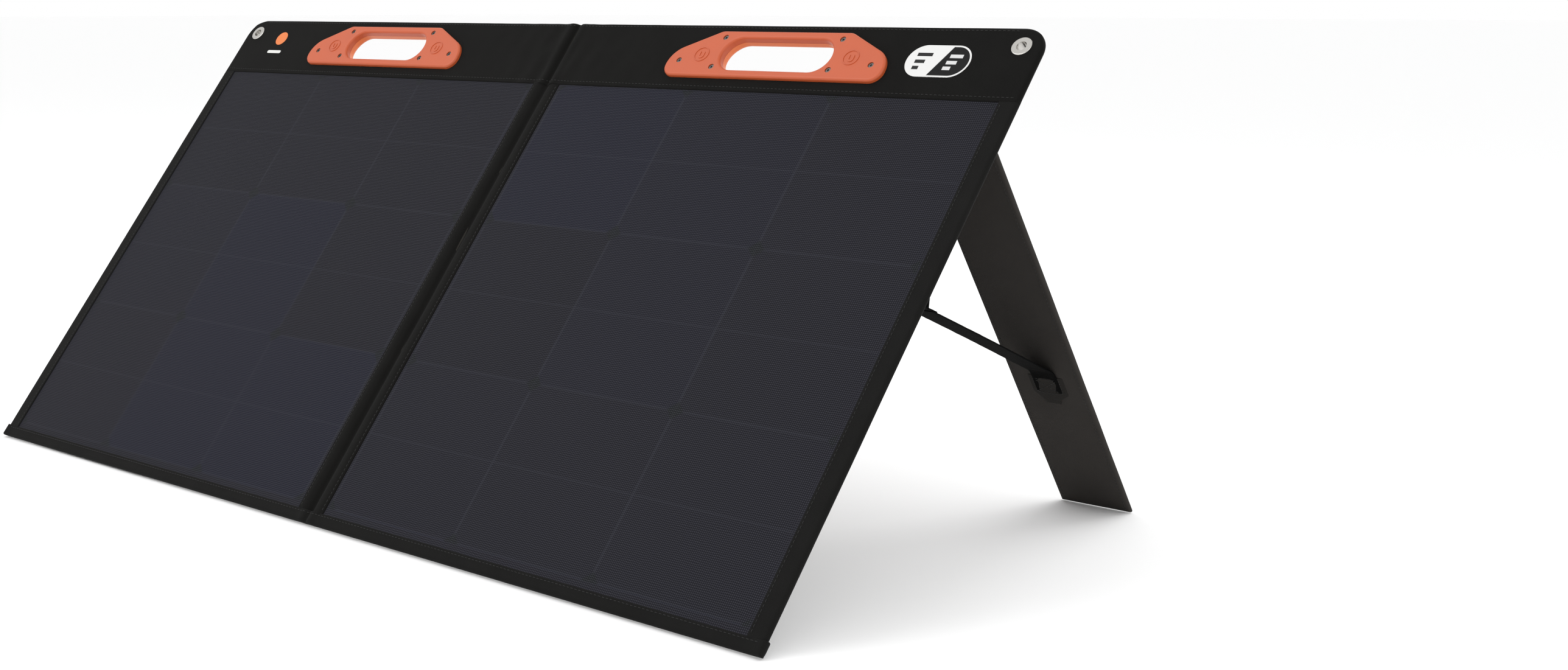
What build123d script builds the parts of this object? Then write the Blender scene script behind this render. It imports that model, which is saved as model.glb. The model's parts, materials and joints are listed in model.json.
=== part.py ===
from build123d import *
import math
import os

# Folding solar panel kit: two fabric-covered halves joined by a centre fold, each with a carry
# handle in its top band and a kickstand leg on its back. Stored standing open, leaning back on
# its two legs. Millimetres, +Z up, X along the width, the solar face looks towards -Y.
# Panel coordinates: u along X, v up the slope from the bottom edge, w out of the solar face.

# Overall sizes
HALF_WIDTH = 522.0
HEIGHT = 578.0
LEAN = 51.0
BAND_HEIGHT = 75.0
CORNER_RADIUS = 25.0
FOLD_GAP = 0.4
FOLD_STRIP = 18.0

# Layers through one half, front to back
SHEET = 0.8
CELL = 0.4
RIBBON = 0.2
BOARD = 2.0
FABRIC = 0.9
TAPE = 0.8
CELL_TOP = -SHEET
RIBBON_TOP = CELL_TOP - CELL
BOARD_TOP = RIBBON_TOP - RIBBON
FABRIC_TOP = BOARD_TOP - BOARD
BACK = FABRIC_TOP - FABRIC

# Solar cells: three by three pseudo-square cells in each half, each cut in two
CELL_SIZE = 158.75
CELL_GAP = 2.0
CELL_CUT_GAP = 1.2
CELL_CORNER = 8.0
CELL_COUNT = 3
CELL_MARGIN_U = 22.0
CELL_MARGIN_V = 21.0
CELL_PITCH = CELL_SIZE + CELL_GAP
RIBBON_WIDTH = 1.6
RIBBONS_PER_CELL = 5

# Edge tapes
SIDE_TAPE = 18.0
BOTTOM_TAPE = 13.0
TAPE_BULGE = 2.0

# Carry handle, placed in the top band
HANDLE_U = 263.0
HANDLE_V = 541.5
HANDLE_LENGTH = 242.0
HANDLE_HEIGHT = 52.0
HANDLE_TOP_LENGTH = 144.0
HANDLE_END_HEIGHT = 27.0
LOWER_ROUND = 12.0
END_ROUND = 23.0
UPPER_ROUND = 12.0
GRIP_LENGTH = 122.0
GRIP_HEIGHT = 36.0
HANDLE_FRONT = 4.2
HANDLE_REAR = 5.0
REAR_BEVEL = 3.0
RIM_ROUND = 2.4
REAR_RIM_ROUND = 4.0
SHELL_WALL = 2.0
COLLAR = 2.2
GRIP_CLEARANCE = 2.8
MAGNET_U = 83.0
MAGNET_V = -2.0
MAGNET_RADIUS = 7.0
MAGNET_THICK = 1.8
MARK_RISE = 0.5
NOTCH_WIDTH = 140.0
NOTCH_V = 519.5
BOARD_JOIN = 0.2
SCREW_PLACES = ((-65, 18), (65, 18), (-106.5, -9), (106.5, -9), (-65, -15.5), (65, -15.5))
SCREW_RADIUS = 1.4
SCREW_HEAD_RADIUS = 2.6
SCREW_HEAD = 1.4
SCREW_RECESS = 2.2
SCREW_BITE = 3.0
BOSS_RADIUS = 3.6

# Corner eyelets
EYELET_INSET = 20.0
EYELET_BORE = 4.5
EYELET_BARREL = 5.2
EYELET_FLANGE = 9.0
EYELET_RIM = 1.0

# Kickstand legs. Distances along a leg are measured from its hinge line.
LEG_U = {"left": -200.0, "right": 462.0}
LEG_WIDTH = 72.0
LEG_LENGTH = 470.0
LEG_HINGE_V = 480.0
LEG_HINGE_BEHIND = 8.0
LEG_ROOT = 4.0
LEG_INNER = 1.0
LEG_THICK = 5.0
LEG_SKIN = 0.8
LEG_BOARD_INSET = 3.0
FLAP_WIDTH = 82.0
FLAP_HEIGHT = 17.0
FLAP_THICK = 1.2

# Brace straps between leg and panel
STRAP_WIDTH = 25.0
STRAP_THICK = 1.5
STRAP_ON_LEG = 285.0
STRAP_ON_PANEL = 155.0
STRAP_PANEL_BEHIND = 5.4
STRAP_LEG_OFFSET = 0.0
STRAP_PATCH = 34.0
STRAP_PATCH_THICK = 0.7
STRAP_END_GAP = 1.0
ELASTIC_ROOT = 14.0
ELASTIC_BEHIND = 6.7
ELASTIC_WIDTH = 12.0
ELASTIC_THICK = 0.8

# Zip pocket on the back of the left half
POCKET_U = -343.0
POCKET_V = 225.0
POCKET_WIDTH = 190.0
POCKET_HEIGHT = 360.0
POCKET_CORNER = 28.0
POCKET_WALL = 1.0
POCKET_FLANGE = 6.0
GUSSET_DEPTH = 17.5
ZIP_DEPTH = 5.0
COVER_THICK = 2.4
PIPING_RADIUS = 1.6
SLIDER_V = 76.0
SLIDER_LENGTH = 11.0
SLIDER_WIDTH = 4.8
SLIDER_THICK = 3.2
BRIDGE_GAP = 3.0
BRIDGE_BAR = 1.0
PULLER_RING = 2.3
PULLER_WIRE = 0.5
PULLER_NECK = 7.0
PULLER_LENGTH = 38.0
PULLER_WIDTH = 6.0
PULLER_THICK = 2.0

# Charge regulator inside the pocket
BOX_V = 330.0
BOX_WIDTH = 112.0
BOX_HEIGHT = 72.0
BOX_DEPTH = 15.0
BOX_WALL = 1.8
BOX_LID = 2.0
BOX_CORNER = 6.0
CIRCUIT_THICK = 1.6
SOCKET_SPACING = 26.0
BOX_SCREW_RADIUS = 1.5

# Printed rating plates, without any text
FRONT_LABEL = (430.5, 541.0, 62.0, 33.0)
POCKET_LABEL = (-330.0, 74.0, 58.0, 17.0)
LABEL_THICK = 0.4

LEAN_RAD = math.radians(LEAN)
SIN = math.sin(LEAN_RAD)
COS = math.cos(LEAN_RAD)
TAPE_BACK = BACK - TAPE
PANEL_Z = -TAPE_BACK * COS


def leg_fall():
    """Angle of an open leg below the horizontal, with its inner foot edge on the ground."""
    hinge_height = PANEL_Z + LEG_HINGE_V * SIN - LEG_HINGE_BEHIND * COS
    fall = 0.8
    for _ in range(30):
        fall = math.asin((hinge_height + LEG_INNER * math.cos(fall)) / LEG_LENGTH)
    return fall


FALL = leg_fall()
LEG_OPEN = math.pi - LEAN_RAD - FALL
HINGE_BACK = LEG_HINGE_V * COS + LEG_HINGE_BEHIND * SIN
FOOT_BACK = HINGE_BACK + LEG_LENGTH * math.cos(FALL) + (LEG_INNER + LEG_THICK) * math.sin(FALL)
PANEL_Y = -(FOOT_BACK - TAPE * SIN) / 2

PANEL = Plane(origin=(0, PANEL_Y, PANEL_Z), x_dir=(1, 0, 0), z_dir=(0, -SIN, COS))


def layer(w):
    """The panel plane moved out of the solar face by w."""
    return PANEL.offset(w)


def panel_point(u, v, w):
    """A point given in panel coordinates."""
    return PANEL.from_local_coords(Vector(u, v, w))


def brace_layout():
    """Brace points in the leg's side view: (down the slope, behind), from the hinge line."""
    on_panel = Vector(STRAP_ON_PANEL, STRAP_PANEL_BEHIND - LEG_HINGE_BEHIND)
    along = Vector(math.cos(LEG_OPEN), math.sin(LEG_OPEN))
    out = Vector(-math.sin(LEG_OPEN), math.cos(LEG_OPEN))
    on_leg = along * STRAP_ON_LEG + out * STRAP_LEG_OFFSET
    length = (on_leg - on_panel).length
    panel_part = (length - (STRAP_ON_LEG - STRAP_ON_PANEL)) / 2
    joint = on_panel + (on_leg - on_panel) * (panel_part / length)
    root = Vector(ELASTIC_ROOT, ELASTIC_BEHIND - LEG_HINGE_BEHIND)
    return on_panel, joint, on_leg, root


def side_point(u, point):
    """A point of the leg's side view, at width u, in the row frame."""
    return panel_point(u, LEG_HINGE_V - point.X, -LEG_HINGE_BEHIND - point.Y)


def leg_plane(side, out=0.0):
    """Plane of an open leg: X along the width, Y down the leg, Z to its outer face."""
    hinge = panel_point(LEG_U[side], LEG_HINGE_V, -LEG_HINGE_BEHIND)
    plane = Plane(origin=hinge, x_dir=(1, 0, 0), z_dir=(0, math.sin(FALL), math.cos(FALL)))
    return plane.offset(out)


def strap_plane(side, start, end):
    """Plane through two brace points: X along the width, Y from start to end."""
    first = side_point(LEG_U[side], start)
    second = side_point(LEG_U[side], end)
    return Plane(origin=first, x_dir=(1, 0, 0), z_dir=Vector(1, 0, 0).cross(second - first))


def rectangle(u0, u1, v0, v1, mode=Mode.ADD):
    """A rectangle from corner to corner, in the current sketch."""
    with Locations(((u0 + u1) / 2, (v0 + v1) / 2)):
        Rectangle(u1 - u0, v1 - v0, mode=mode)


def band_outline(inset, low):
    """Top band of the right half, with its rounded outer corner."""
    with BuildSketch() as outline:
        rectangle(FOLD_GAP, HALF_WIDTH - inset, low, HEIGHT - inset)
        corner = outline.vertices().sort_by(SortBy.DISTANCE)[-1]
        fillet(corner, radius=CORNER_RADIUS - inset)
    return outline.sketch


def handle_outline(grow=0.0):
    """Outline of the carry handle about its own centre."""
    end = HANDLE_LENGTH / 2
    top = HANDLE_HEIGHT / 2
    shoulder = HANDLE_END_HEIGHT - top
    with BuildSketch() as outline:
        with BuildLine():
            Polyline(
                (-end, -top),
                (end, -top),
                (end, shoulder),
                (HANDLE_TOP_LENGTH / 2, top),
                (-HANDLE_TOP_LENGTH / 2, top),
                (-end, shoulder),
                close=True,
            )
        make_face()
        for height, radius in ((-top, LOWER_ROUND), (shoulder, END_ROUND), (top, UPPER_ROUND)):
            corners = outline.vertices().filter_by_position(Axis.Y, height - 0.1, height + 0.1)
            fillet(corners, radius=radius)
        if grow:
            offset(amount=grow, mode=Mode.REPLACE)
    return outline.sketch


def grip_hole(grow=0.0, mode=Mode.ADD):
    """The finger opening, or that opening grown all round."""
    with Locations((HANDLE_U, HANDLE_V)):
        SlotOverall(GRIP_LENGTH + 2 * grow, GRIP_HEIGHT + 2 * grow, mode=mode)


def screw_points(places=SCREW_PLACES):
    """The handle's screw places in panel coordinates."""
    return [(HANDLE_U + du, HANDLE_V + dv) for du, dv in places]


def band_holes():
    """Openings that every layer of the top band has."""
    grip_hole(GRIP_CLEARANCE, mode=Mode.SUBTRACT)
    with Locations((HALF_WIDTH - EYELET_INSET, HEIGHT - EYELET_INSET)):
        Circle(EYELET_BARREL + 0.1, mode=Mode.SUBTRACT)
    with Locations(screw_points()):
        Circle(SCREW_RADIUS + 0.4, mode=Mode.SUBTRACT)


def to_side(side):
    """Turn the right half's piece into the left half's, where that is asked for."""
    if side == "left":
        mirror(about=Plane.YZ, mode=Mode.REPLACE)


def keep(piece, label):
    """Name a finished piece and write it."""
    piece.part.label = label
    export_step(piece.part, f"parts/{label}.step")


def front_sheet(side):
    """Textured clear laminate over the cells."""
    with BuildPart() as piece:
        with BuildSketch(layer(-SHEET)):
            rectangle(FOLD_STRIP, HALF_WIDTH - TAPE - 0.2, BOTTOM_TAPE - 2, HEIGHT - BAND_HEIGHT)
        extrude(amount=SHEET)
        to_side(side)
    return piece


def solar_cells(side):
    """Eighteen half-cut cells with the clipped corners of their wafers."""
    half = (CELL_SIZE - CELL_CUT_GAP) / 2
    with BuildPart() as piece:
        with BuildSketch(layer(RIBBON_TOP)):
            for column in range(CELL_COUNT):
                for row in range(CELL_COUNT):
                    u = CELL_MARGIN_U + column * CELL_PITCH
                    v = CELL_MARGIN_V + row * CELL_PITCH
                    with BuildSketch(mode=Mode.PRIVATE) as cell:
                        rectangle(u, u + CELL_SIZE, v, v + CELL_SIZE)
                        chamfer(cell.vertices(), length=CELL_CORNER)
                        rectangle(u, u + CELL_SIZE, v + half, v + half + CELL_CUT_GAP, Mode.SUBTRACT)
                    add(cell.sketch)
        extrude(amount=CELL)
        to_side(side)
    return piece


def cell_ribbons(side):
    """Tinned ribbons behind the cells, and the cross ribbons that join the columns."""
    v0 = CELL_MARGIN_V
    v1 = v0 + CELL_COUNT * CELL_PITCH - CELL_GAP
    step = CELL_SIZE / RIBBONS_PER_CELL
    with BuildPart() as piece:
        with BuildSketch(layer(BOARD_TOP)):
            for column in range(CELL_COUNT):
                left = CELL_MARGIN_U + column * CELL_PITCH
                for line in range(RIBBONS_PER_CELL):
                    u = left + (line + 0.5) * step
                    rectangle(u - RIBBON_WIDTH / 2, u + RIBBON_WIDTH / 2, v0, v1)
                rectangle(left + step / 2, left + CELL_SIZE - step / 2, v0, v0 + 3 * RIBBON_WIDTH)
        extrude(amount=RIBBON)
        to_side(side)
    return piece


def backing_board(side):
    """Stiff glass-fibre board that carries the cells."""
    with BuildPart() as piece:
        with BuildSketch(layer(FABRIC_TOP)):
            rectangle(FOLD_STRIP, HALF_WIDTH - 3, 3, HEIGHT - BAND_HEIGHT - 1)
        extrude(amount=BOARD)
        to_side(side)
    return piece


def band_stiffener(side):
    """Plastic boards inside the top band: one each side of the handle, a strip under it."""
    low = HEIGHT - BAND_HEIGHT
    with BuildPart() as piece:
        with BuildSketch(layer(FABRIC_TOP)):
            with BuildSketch(mode=Mode.PRIVATE) as board:
                add(band_outline(3.0, low + 1))
                rectangle(0, FOLD_STRIP, low, HEIGHT, Mode.SUBTRACT)
                with Locations((HANDLE_U, HANDLE_V)):
                    Rectangle(NOTCH_WIDTH, 2 * BAND_HEIGHT, mode=Mode.SUBTRACT)
            add(board.sketch)
            reach = NOTCH_WIDTH / 2 - BOARD_JOIN
            rectangle(HANDLE_U - reach, HANDLE_U + reach, low + 1, NOTCH_V)
            band_holes()
        extrude(amount=-FABRIC_TOP)
        to_side(side)
    return piece


def rear_fabric(side):
    """Woven back of one half, one sheet from the bottom edge to the top."""
    with BuildPart() as piece:
        with BuildSketch(layer(BACK)):
            rectangle(FOLD_GAP, HALF_WIDTH - TAPE - 0.2, TAPE + 0.2, HEIGHT - BAND_HEIGHT)
            add(band_outline(1.2, HEIGHT - BAND_HEIGHT))
            band_holes()
        extrude(amount=FABRIC)
        to_side(side)
    return piece


def band_cover(side):
    """Fabric of the top band, wrapped over the top and outer edges."""
    low = HEIGHT - BAND_HEIGHT
    with BuildPart() as piece:
        with BuildSketch(layer(BACK - FABRIC)):
            add(band_outline(0.0, low))
            band_holes()
        extrude(amount=2 * FABRIC - BACK)
        with BuildSketch(layer(BACK)):
            add(band_outline(1.0, low - 1))
        extrude(amount=-BACK, mode=Mode.SUBTRACT)
        to_side(side)
    return piece


def side_binding(side):
    """Tape folded round the outer edge."""
    top = HEIGHT - BAND_HEIGHT - 0.2
    with BuildPart() as piece:
        with BuildSketch(layer(TAPE_BACK)):
            rectangle(HALF_WIDTH - SIDE_TAPE, HALF_WIDTH, BOTTOM_TAPE + 0.2, top)
        extrude(amount=TAPE - TAPE_BACK)
        with BuildSketch(layer(BACK)):
            rectangle(HALF_WIDTH - SIDE_TAPE - 1, HALF_WIDTH - TAPE, BOTTOM_TAPE, top + 1)
        extrude(amount=-BACK, mode=Mode.SUBTRACT)
        to_side(side)
    return piece


def bottom_binding(side):
    """Tape folded round the bottom edge, its end wrapped past the side tape."""
    end = HALF_WIDTH + TAPE_BULGE
    with BuildPart() as piece:
        with BuildSketch(layer(TAPE_BACK)) as outline:
            rectangle(FOLD_GAP, end, 0, BOTTOM_TAPE)
            fillet(outline.vertices().group_by(Axis.X)[-1], radius=4)
        extrude(amount=TAPE - TAPE_BACK)
        with BuildSketch(layer(BACK)):
            rectangle(-1, HALF_WIDTH - TAPE, TAPE, BOTTOM_TAPE + 1)
        extrude(amount=-BACK, mode=Mode.SUBTRACT)
        to_side(side)
    return piece


def fold_strip(side):
    """Fabric beside the centre fold, falling into a valley at the fold line."""
    edge = FOLD_STRIP - 0.2
    section = Plane(origin=panel_point(0, BOTTOM_TAPE + 0.2, 0), x_dir=(1, 0, 0), z_dir=(0, -COS, -SIN))
    with BuildPart() as piece:
        with BuildSketch(section):
            with BuildLine():
                Polyline(
                    (FOLD_GAP, FABRIC_TOP),
                    (edge, FABRIC_TOP),
                    (edge, 0.4),
                    (edge - 4, 0.6),
                    (6, -0.6),
                    (FOLD_GAP, -2.2),
                    close=True,
                )
            make_face()
        extrude(amount=-(HEIGHT - BAND_HEIGHT - BOTTOM_TAPE - 0.4))
        to_side(side)
    return piece


def magnet_mark():
    """Raised ring and horseshoe that mark a magnet's place."""
    Circle(MAGNET_RADIUS + 1)
    Circle(MAGNET_RADIUS + 0.3, mode=Mode.SUBTRACT)
    with BuildSketch(mode=Mode.PRIVATE) as horseshoe:
        SlotOverall(9, 6.4, rotation=90)
        SlotOverall(5.4, 3.0, rotation=90, mode=Mode.SUBTRACT)
        rectangle(-1.5, 1.5, 0, 5, Mode.SUBTRACT)
        rectangle(-4, 4, 2.8, 5, Mode.SUBTRACT)
    add(horseshoe.sketch)


def handle_front(side):
    """Front shell of the carry handle, hollow, with its grip collar and screw posts."""
    face = FABRIC + HANDLE_FRONT
    middle = BACK / 2
    with BuildPart() as piece:
        with BuildSketch(layer(FABRIC)):
            with Locations((HANDLE_U, HANDLE_V)):
                add(handle_outline())
            grip_hole(mode=Mode.SUBTRACT)
        extrude(amount=HANDLE_FRONT)
        fillet(piece.faces().sort_by(Axis(panel_point(0, 0, 0), PANEL.z_dir))[-1].edges(), radius=RIM_ROUND)
        with BuildSketch(layer(FABRIC)):
            with Locations((HANDLE_U, HANDLE_V)):
                add(handle_outline(-SHELL_WALL))
            grip_hole(COLLAR, mode=Mode.SUBTRACT)
            with Locations(screw_points()):
                Circle(BOSS_RADIUS, mode=Mode.SUBTRACT)
            with Locations(screw_points(((-MAGNET_U, MAGNET_V), (MAGNET_U, MAGNET_V)))):
                Circle(MAGNET_RADIUS + 1.4, mode=Mode.SUBTRACT)
        extrude(amount=HANDLE_FRONT - SHELL_WALL, mode=Mode.SUBTRACT)
        with BuildSketch(layer(FABRIC)):
            with Locations(screw_points(((-MAGNET_U, MAGNET_V), (MAGNET_U, MAGNET_V)))):
                Circle(MAGNET_RADIUS + 0.2)
        extrude(amount=HANDLE_FRONT - SHELL_WALL, mode=Mode.SUBTRACT)
        with BuildSketch(layer(middle + 0.1)):
            grip_hole(COLLAR)
            grip_hole(mode=Mode.SUBTRACT)
        extrude(amount=FABRIC - middle)
        with BuildSketch(layer(FABRIC)):
            with Locations(screw_points()):
                Circle(SCREW_RADIUS + 0.15)
        extrude(amount=HANDLE_FRONT, mode=Mode.SUBTRACT)
        with BuildSketch(layer(face - SCREW_RECESS)):
            with Locations(screw_points()):
                Circle(SCREW_HEAD_RADIUS + 0.3)
        extrude(amount=SCREW_RECESS, mode=Mode.SUBTRACT)
        with BuildSketch(layer(face)):
            with Locations(screw_points(((-MAGNET_U, MAGNET_V), (MAGNET_U, MAGNET_V)))):
                magnet_mark()
        extrude(amount=MARK_RISE)
        to_side(side)
    return piece


def handle_rear(side):
    """Rear shell of the carry handle, with a broad bevel and the posts the screws bite into."""
    seat = BACK - FABRIC
    middle = BACK / 2
    with BuildPart() as piece:
        with BuildSketch(layer(seat)):
            with Locations((HANDLE_U, HANDLE_V)):
                add(handle_outline())
            grip_hole(mode=Mode.SUBTRACT)
        extrude(amount=-HANDLE_REAR)
        rear = piece.faces().sort_by(Axis(panel_point(0, 0, 0), PANEL.z_dir))[0]
        chamfer(rear.outer_wire().edges(), length=REAR_BEVEL)
        fillet(rear.inner_wires()[0].edges(), radius=REAR_RIM_ROUND)
        with BuildSketch(layer(seat)):
            with Locations((HANDLE_U, HANDLE_V)):
                add(handle_outline(-SHELL_WALL - 1.6))
            grip_hole(COLLAR + 1, mode=Mode.SUBTRACT)
            with Locations(screw_points()):
                Circle(BOSS_RADIUS, mode=Mode.SUBTRACT)
        extrude(amount=-(HANDLE_REAR - SHELL_WALL - 1), mode=Mode.SUBTRACT)
        with BuildSketch(layer(middle - 0.1)):
            grip_hole(COLLAR)
            grip_hole(mode=Mode.SUBTRACT)
        extrude(amount=seat - middle)
        with BuildSketch(layer(seat)):
            with Locations(screw_points()):
                Circle(SCREW_RADIUS + 0.02)
        extrude(amount=-SCREW_BITE - 0.5, mode=Mode.SUBTRACT)
        to_side(side)
    return piece


def handle_screws(side):
    """Six pan-head screws that clamp the two shells through the band."""
    head_seat = FABRIC + HANDLE_FRONT - SCREW_RECESS
    tip = BACK - FABRIC - SCREW_BITE
    with BuildPart() as piece:
        with BuildSketch(layer(tip)):
            with Locations(screw_points()):
                Circle(SCREW_RADIUS)
        extrude(amount=head_seat - tip)
        with BuildSketch(layer(head_seat)):
            with Locations(screw_points()):
                Circle(SCREW_HEAD_RADIUS)
        extrude(amount=SCREW_HEAD)
        with BuildSketch(layer(head_seat + SCREW_HEAD)):
            with Locations(screw_points()):
                RegularPolygon(radius=1.2, side_count=6)
        extrude(amount=-0.9, mode=Mode.SUBTRACT)
        to_side(side)
    return piece


def handle_magnets(side):
    """Two disc magnets behind the marks in the front shell; they hold the kit shut."""
    top = FABRIC + HANDLE_FRONT - SHELL_WALL - 0.05
    with BuildPart() as piece:
        with BuildSketch(layer(top)):
            with Locations(screw_points(((-MAGNET_U, MAGNET_V), (MAGNET_U, MAGNET_V)))):
                Circle(MAGNET_RADIUS)
        extrude(amount=-MAGNET_THICK)
        to_side(side)
    return piece


def eyelet(side):
    """Nickel eyelet pressed through the outer top corner."""
    place = (HALF_WIDTH - EYELET_INSET, HEIGHT - EYELET_INSET)
    tail = BACK - FABRIC - EYELET_RIM
    with BuildPart() as piece:
        with BuildSketch(layer(FABRIC)):
            with Locations(place):
                Circle(EYELET_FLANGE)
        extrude(amount=EYELET_RIM)
        fillet(piece.edges().sort_by(Axis(panel_point(0, 0, 0), PANEL.z_dir))[-1], radius=0.7)
        with BuildSketch(layer(tail)):
            with Locations(place):
                Circle(EYELET_BARREL)
        extrude(amount=FABRIC - tail)
        with BuildSketch(layer(tail)):
            with Locations(place):
                Circle(EYELET_BARREL + 1.2)
        extrude(amount=-0.5)
        with BuildSketch(layer(tail - 1)):
            with Locations(place):
                Circle(EYELET_BORE)
        extrude(amount=FABRIC + EYELET_RIM + 2 - tail, mode=Mode.SUBTRACT)
        to_side(side)
    return piece


def eyelet_washer(side):
    """Washer that the eyelet's tail is rolled over, on the back."""
    place = (HALF_WIDTH - EYELET_INSET, HEIGHT - EYELET_INSET)
    with BuildPart() as piece:
        with BuildSketch(layer(BACK - FABRIC)):
            with Locations(place):
                Circle(EYELET_FLANGE)
                Circle(EYELET_BARREL, mode=Mode.SUBTRACT)
        extrude(amount=-EYELET_RIM)
        to_side(side)
    return piece


def leg_board(side):
    """Stiff board inside a kickstand leg."""
    half = LEG_WIDTH / 2 - LEG_BOARD_INSET
    with BuildPart() as piece:
        with BuildSketch(leg_plane(side, LEG_INNER + LEG_SKIN)):
            rectangle(-half, half, LEG_ROOT + 4, LEG_LENGTH - LEG_BOARD_INSET)
        extrude(amount=LEG_THICK - 2 * LEG_SKIN)
    return piece


def leg_cover(side):
    """Fabric sleeve sewn round the leg board."""
    half = LEG_WIDTH / 2
    inner = half - LEG_BOARD_INSET
    with BuildPart() as piece:
        with BuildSketch(leg_plane(side, LEG_INNER)):
            rectangle(-half, half, LEG_ROOT, LEG_LENGTH)
        extrude(amount=LEG_THICK)
        with BuildSketch(leg_plane(side, LEG_INNER + LEG_SKIN)):
            rectangle(-inner, inner, LEG_ROOT + 4, LEG_LENGTH - LEG_BOARD_INSET)
        extrude(amount=LEG_THICK - 2 * LEG_SKIN, mode=Mode.SUBTRACT)
    return piece


def leg_flap(side):
    """Fabric flap sewn to the panel's back, that the leg hangs from."""
    u = LEG_U[side]
    low = LEG_HINGE_V + 3
    with BuildPart() as piece:
        with BuildSketch(layer(BACK - 0.05)):
            rectangle(u - FLAP_WIDTH / 2, u + FLAP_WIDTH / 2, low, low + FLAP_HEIGHT)
        extrude(amount=-FLAP_THICK)
    return piece


def leg_patch(side):
    """Webbing end and patch sewn to the leg's inner face."""
    half = STRAP_WIDTH / 2 + 2
    with BuildPart() as piece:
        with BuildSketch(leg_plane(side, LEG_INNER)):
            rectangle(-half, half, STRAP_ON_LEG + 1, STRAP_ON_LEG + 1 + STRAP_PATCH)
        extrude(amount=-STRAP_PATCH_THICK)
    return piece


def brace(side, start, end, width, thick):
    """One straight run of webbing between two brace points."""
    plane = strap_plane(side, start, end)
    length = (end - start).length
    with BuildPart() as piece:
        with BuildSketch(plane.offset(-thick / 2)):
            rectangle(-width / 2, width / 2, STRAP_END_GAP, length - STRAP_END_GAP)
        extrude(amount=thick)
    return piece


def pocket_ring(grow, w, amount, mode=Mode.ADD):
    """Solid in the pocket's rounded outline, grown by grow, from w."""
    with BuildSketch(layer(w)) as outline:
        with Locations((POCKET_U, POCKET_V)):
            RectangleRounded(POCKET_WIDTH + 2 * grow, POCKET_HEIGHT + 2 * grow, POCKET_CORNER + grow)
    extrude(outline.sketch, amount=amount, mode=mode)


GUSSET_END = BACK - GUSSET_DEPTH
ZIP_END = GUSSET_END - ZIP_DEPTH

os.makedirs("parts", exist_ok=True)
ON_PANEL, JOINT, ON_LEG, ELASTIC_START = brace_layout()

HALF_PIECES = {
    "front_sheet": front_sheet,
    "solar_cells": solar_cells,
    "cell_ribbons": cell_ribbons,
    "backing_board": backing_board,
    "band_stiffener": band_stiffener,
    "rear_fabric": rear_fabric,
    "band_cover": band_cover,
    "side_binding": side_binding,
    "bottom_binding": bottom_binding,
    "fold_strip": fold_strip,
    "handle_front": handle_front,
    "handle_rear": handle_rear,
    "handle_screws": handle_screws,
    "handle_magnets": handle_magnets,
    "eyelet": eyelet,
    "eyelet_washer": eyelet_washer,
    "leg_board": leg_board,
    "leg_cover": leg_cover,
    "leg_flap": leg_flap,
    "leg_patch": leg_patch,
}

for side in ("left", "right"):
    for name, make in HALF_PIECES.items():
        keep(make(side), f"{name}_{side}")
    keep(brace(side, ON_PANEL, JOINT, STRAP_WIDTH, STRAP_THICK), f"brace_panel_{side}")
    keep(brace(side, ON_LEG, JOINT, STRAP_WIDTH, STRAP_THICK), f"brace_leg_{side}")
    keep(brace(side, ELASTIC_START, JOINT, ELASTIC_WIDTH, ELASTIC_THICK), f"brace_elastic_{side}")

# Coated side wall of the pocket, with the flange that is sewn to the rear fabric
with BuildPart() as pocket_gusset:
    pocket_ring(POCKET_FLANGE, BACK - 0.05, -POCKET_WALL)
    pocket_ring(0, BACK - 0.05, -GUSSET_DEPTH + 0.05)
    pocket_ring(-POCKET_WALL, BACK, -GUSSET_DEPTH - 1, Mode.SUBTRACT)
keep(pocket_gusset, "pocket_gusset")

# Zip tape and closed teeth between side wall and cover
with BuildPart() as pocket_zip:
    pocket_ring(0.4, GUSSET_END - 0.05, -ZIP_DEPTH + 0.1)
    pocket_ring(-POCKET_WALL, GUSSET_END, -ZIP_DEPTH - 1, Mode.SUBTRACT)
keep(pocket_zip, "pocket_zip")

# Moulded cover of the pocket
with BuildPart() as pocket_cover:
    pocket_ring(-0.4, ZIP_END, -COVER_THICK)
    crown = pocket_cover.faces().sort_by(Axis(panel_point(0, 0, 0), PANEL.z_dir))[0]
    chamfer(crown.edges(), length=1.2)
keep(pocket_cover, "pocket_cover")

# Piping cord sewn round the cover's edge
with BuildPart() as pocket_piping:
    pocket_ring(PIPING_RADIUS, ZIP_END - 0.1, -2 * PIPING_RADIUS / 1.4)
    pocket_ring(-0.4, ZIP_END, -3 * PIPING_RADIUS, Mode.SUBTRACT)
keep(pocket_piping, "pocket_piping")

# Zip slider on the pocket's outer side, its back flat against the closed teeth
ZIP_MIDDLE = (GUSSET_END + ZIP_END) / 2
SLIDER_FACE = POCKET_U - POCKET_WIDTH / 2 - 0.6
SLIDER_PLANE = Plane(
    origin=panel_point(SLIDER_FACE, SLIDER_V, ZIP_MIDDLE),
    x_dir=PANEL.z_dir,
    z_dir=(-1, 0, 0),
)
with BuildPart() as zip_slider:
    with BuildSketch(SLIDER_PLANE) as slider_outline:
        Rectangle(SLIDER_WIDTH, SLIDER_LENGTH)
        chamfer(slider_outline.vertices(), length=1.4)
    extrude(amount=SLIDER_THICK)
    with BuildSketch(SLIDER_PLANE.offset(SLIDER_THICK)):
        with GridLocations(0, SLIDER_LENGTH - 2.8, 1, 2):
            Rectangle(1.2, 1.4)
    extrude(amount=BRIDGE_GAP)
    with BuildSketch(SLIDER_PLANE.offset(SLIDER_THICK + BRIDGE_GAP)):
        Rectangle(BRIDGE_BAR, SLIDER_LENGTH - 1.4)
    extrude(amount=BRIDGE_BAR)
keep(zip_slider, "zip_slider")

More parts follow.
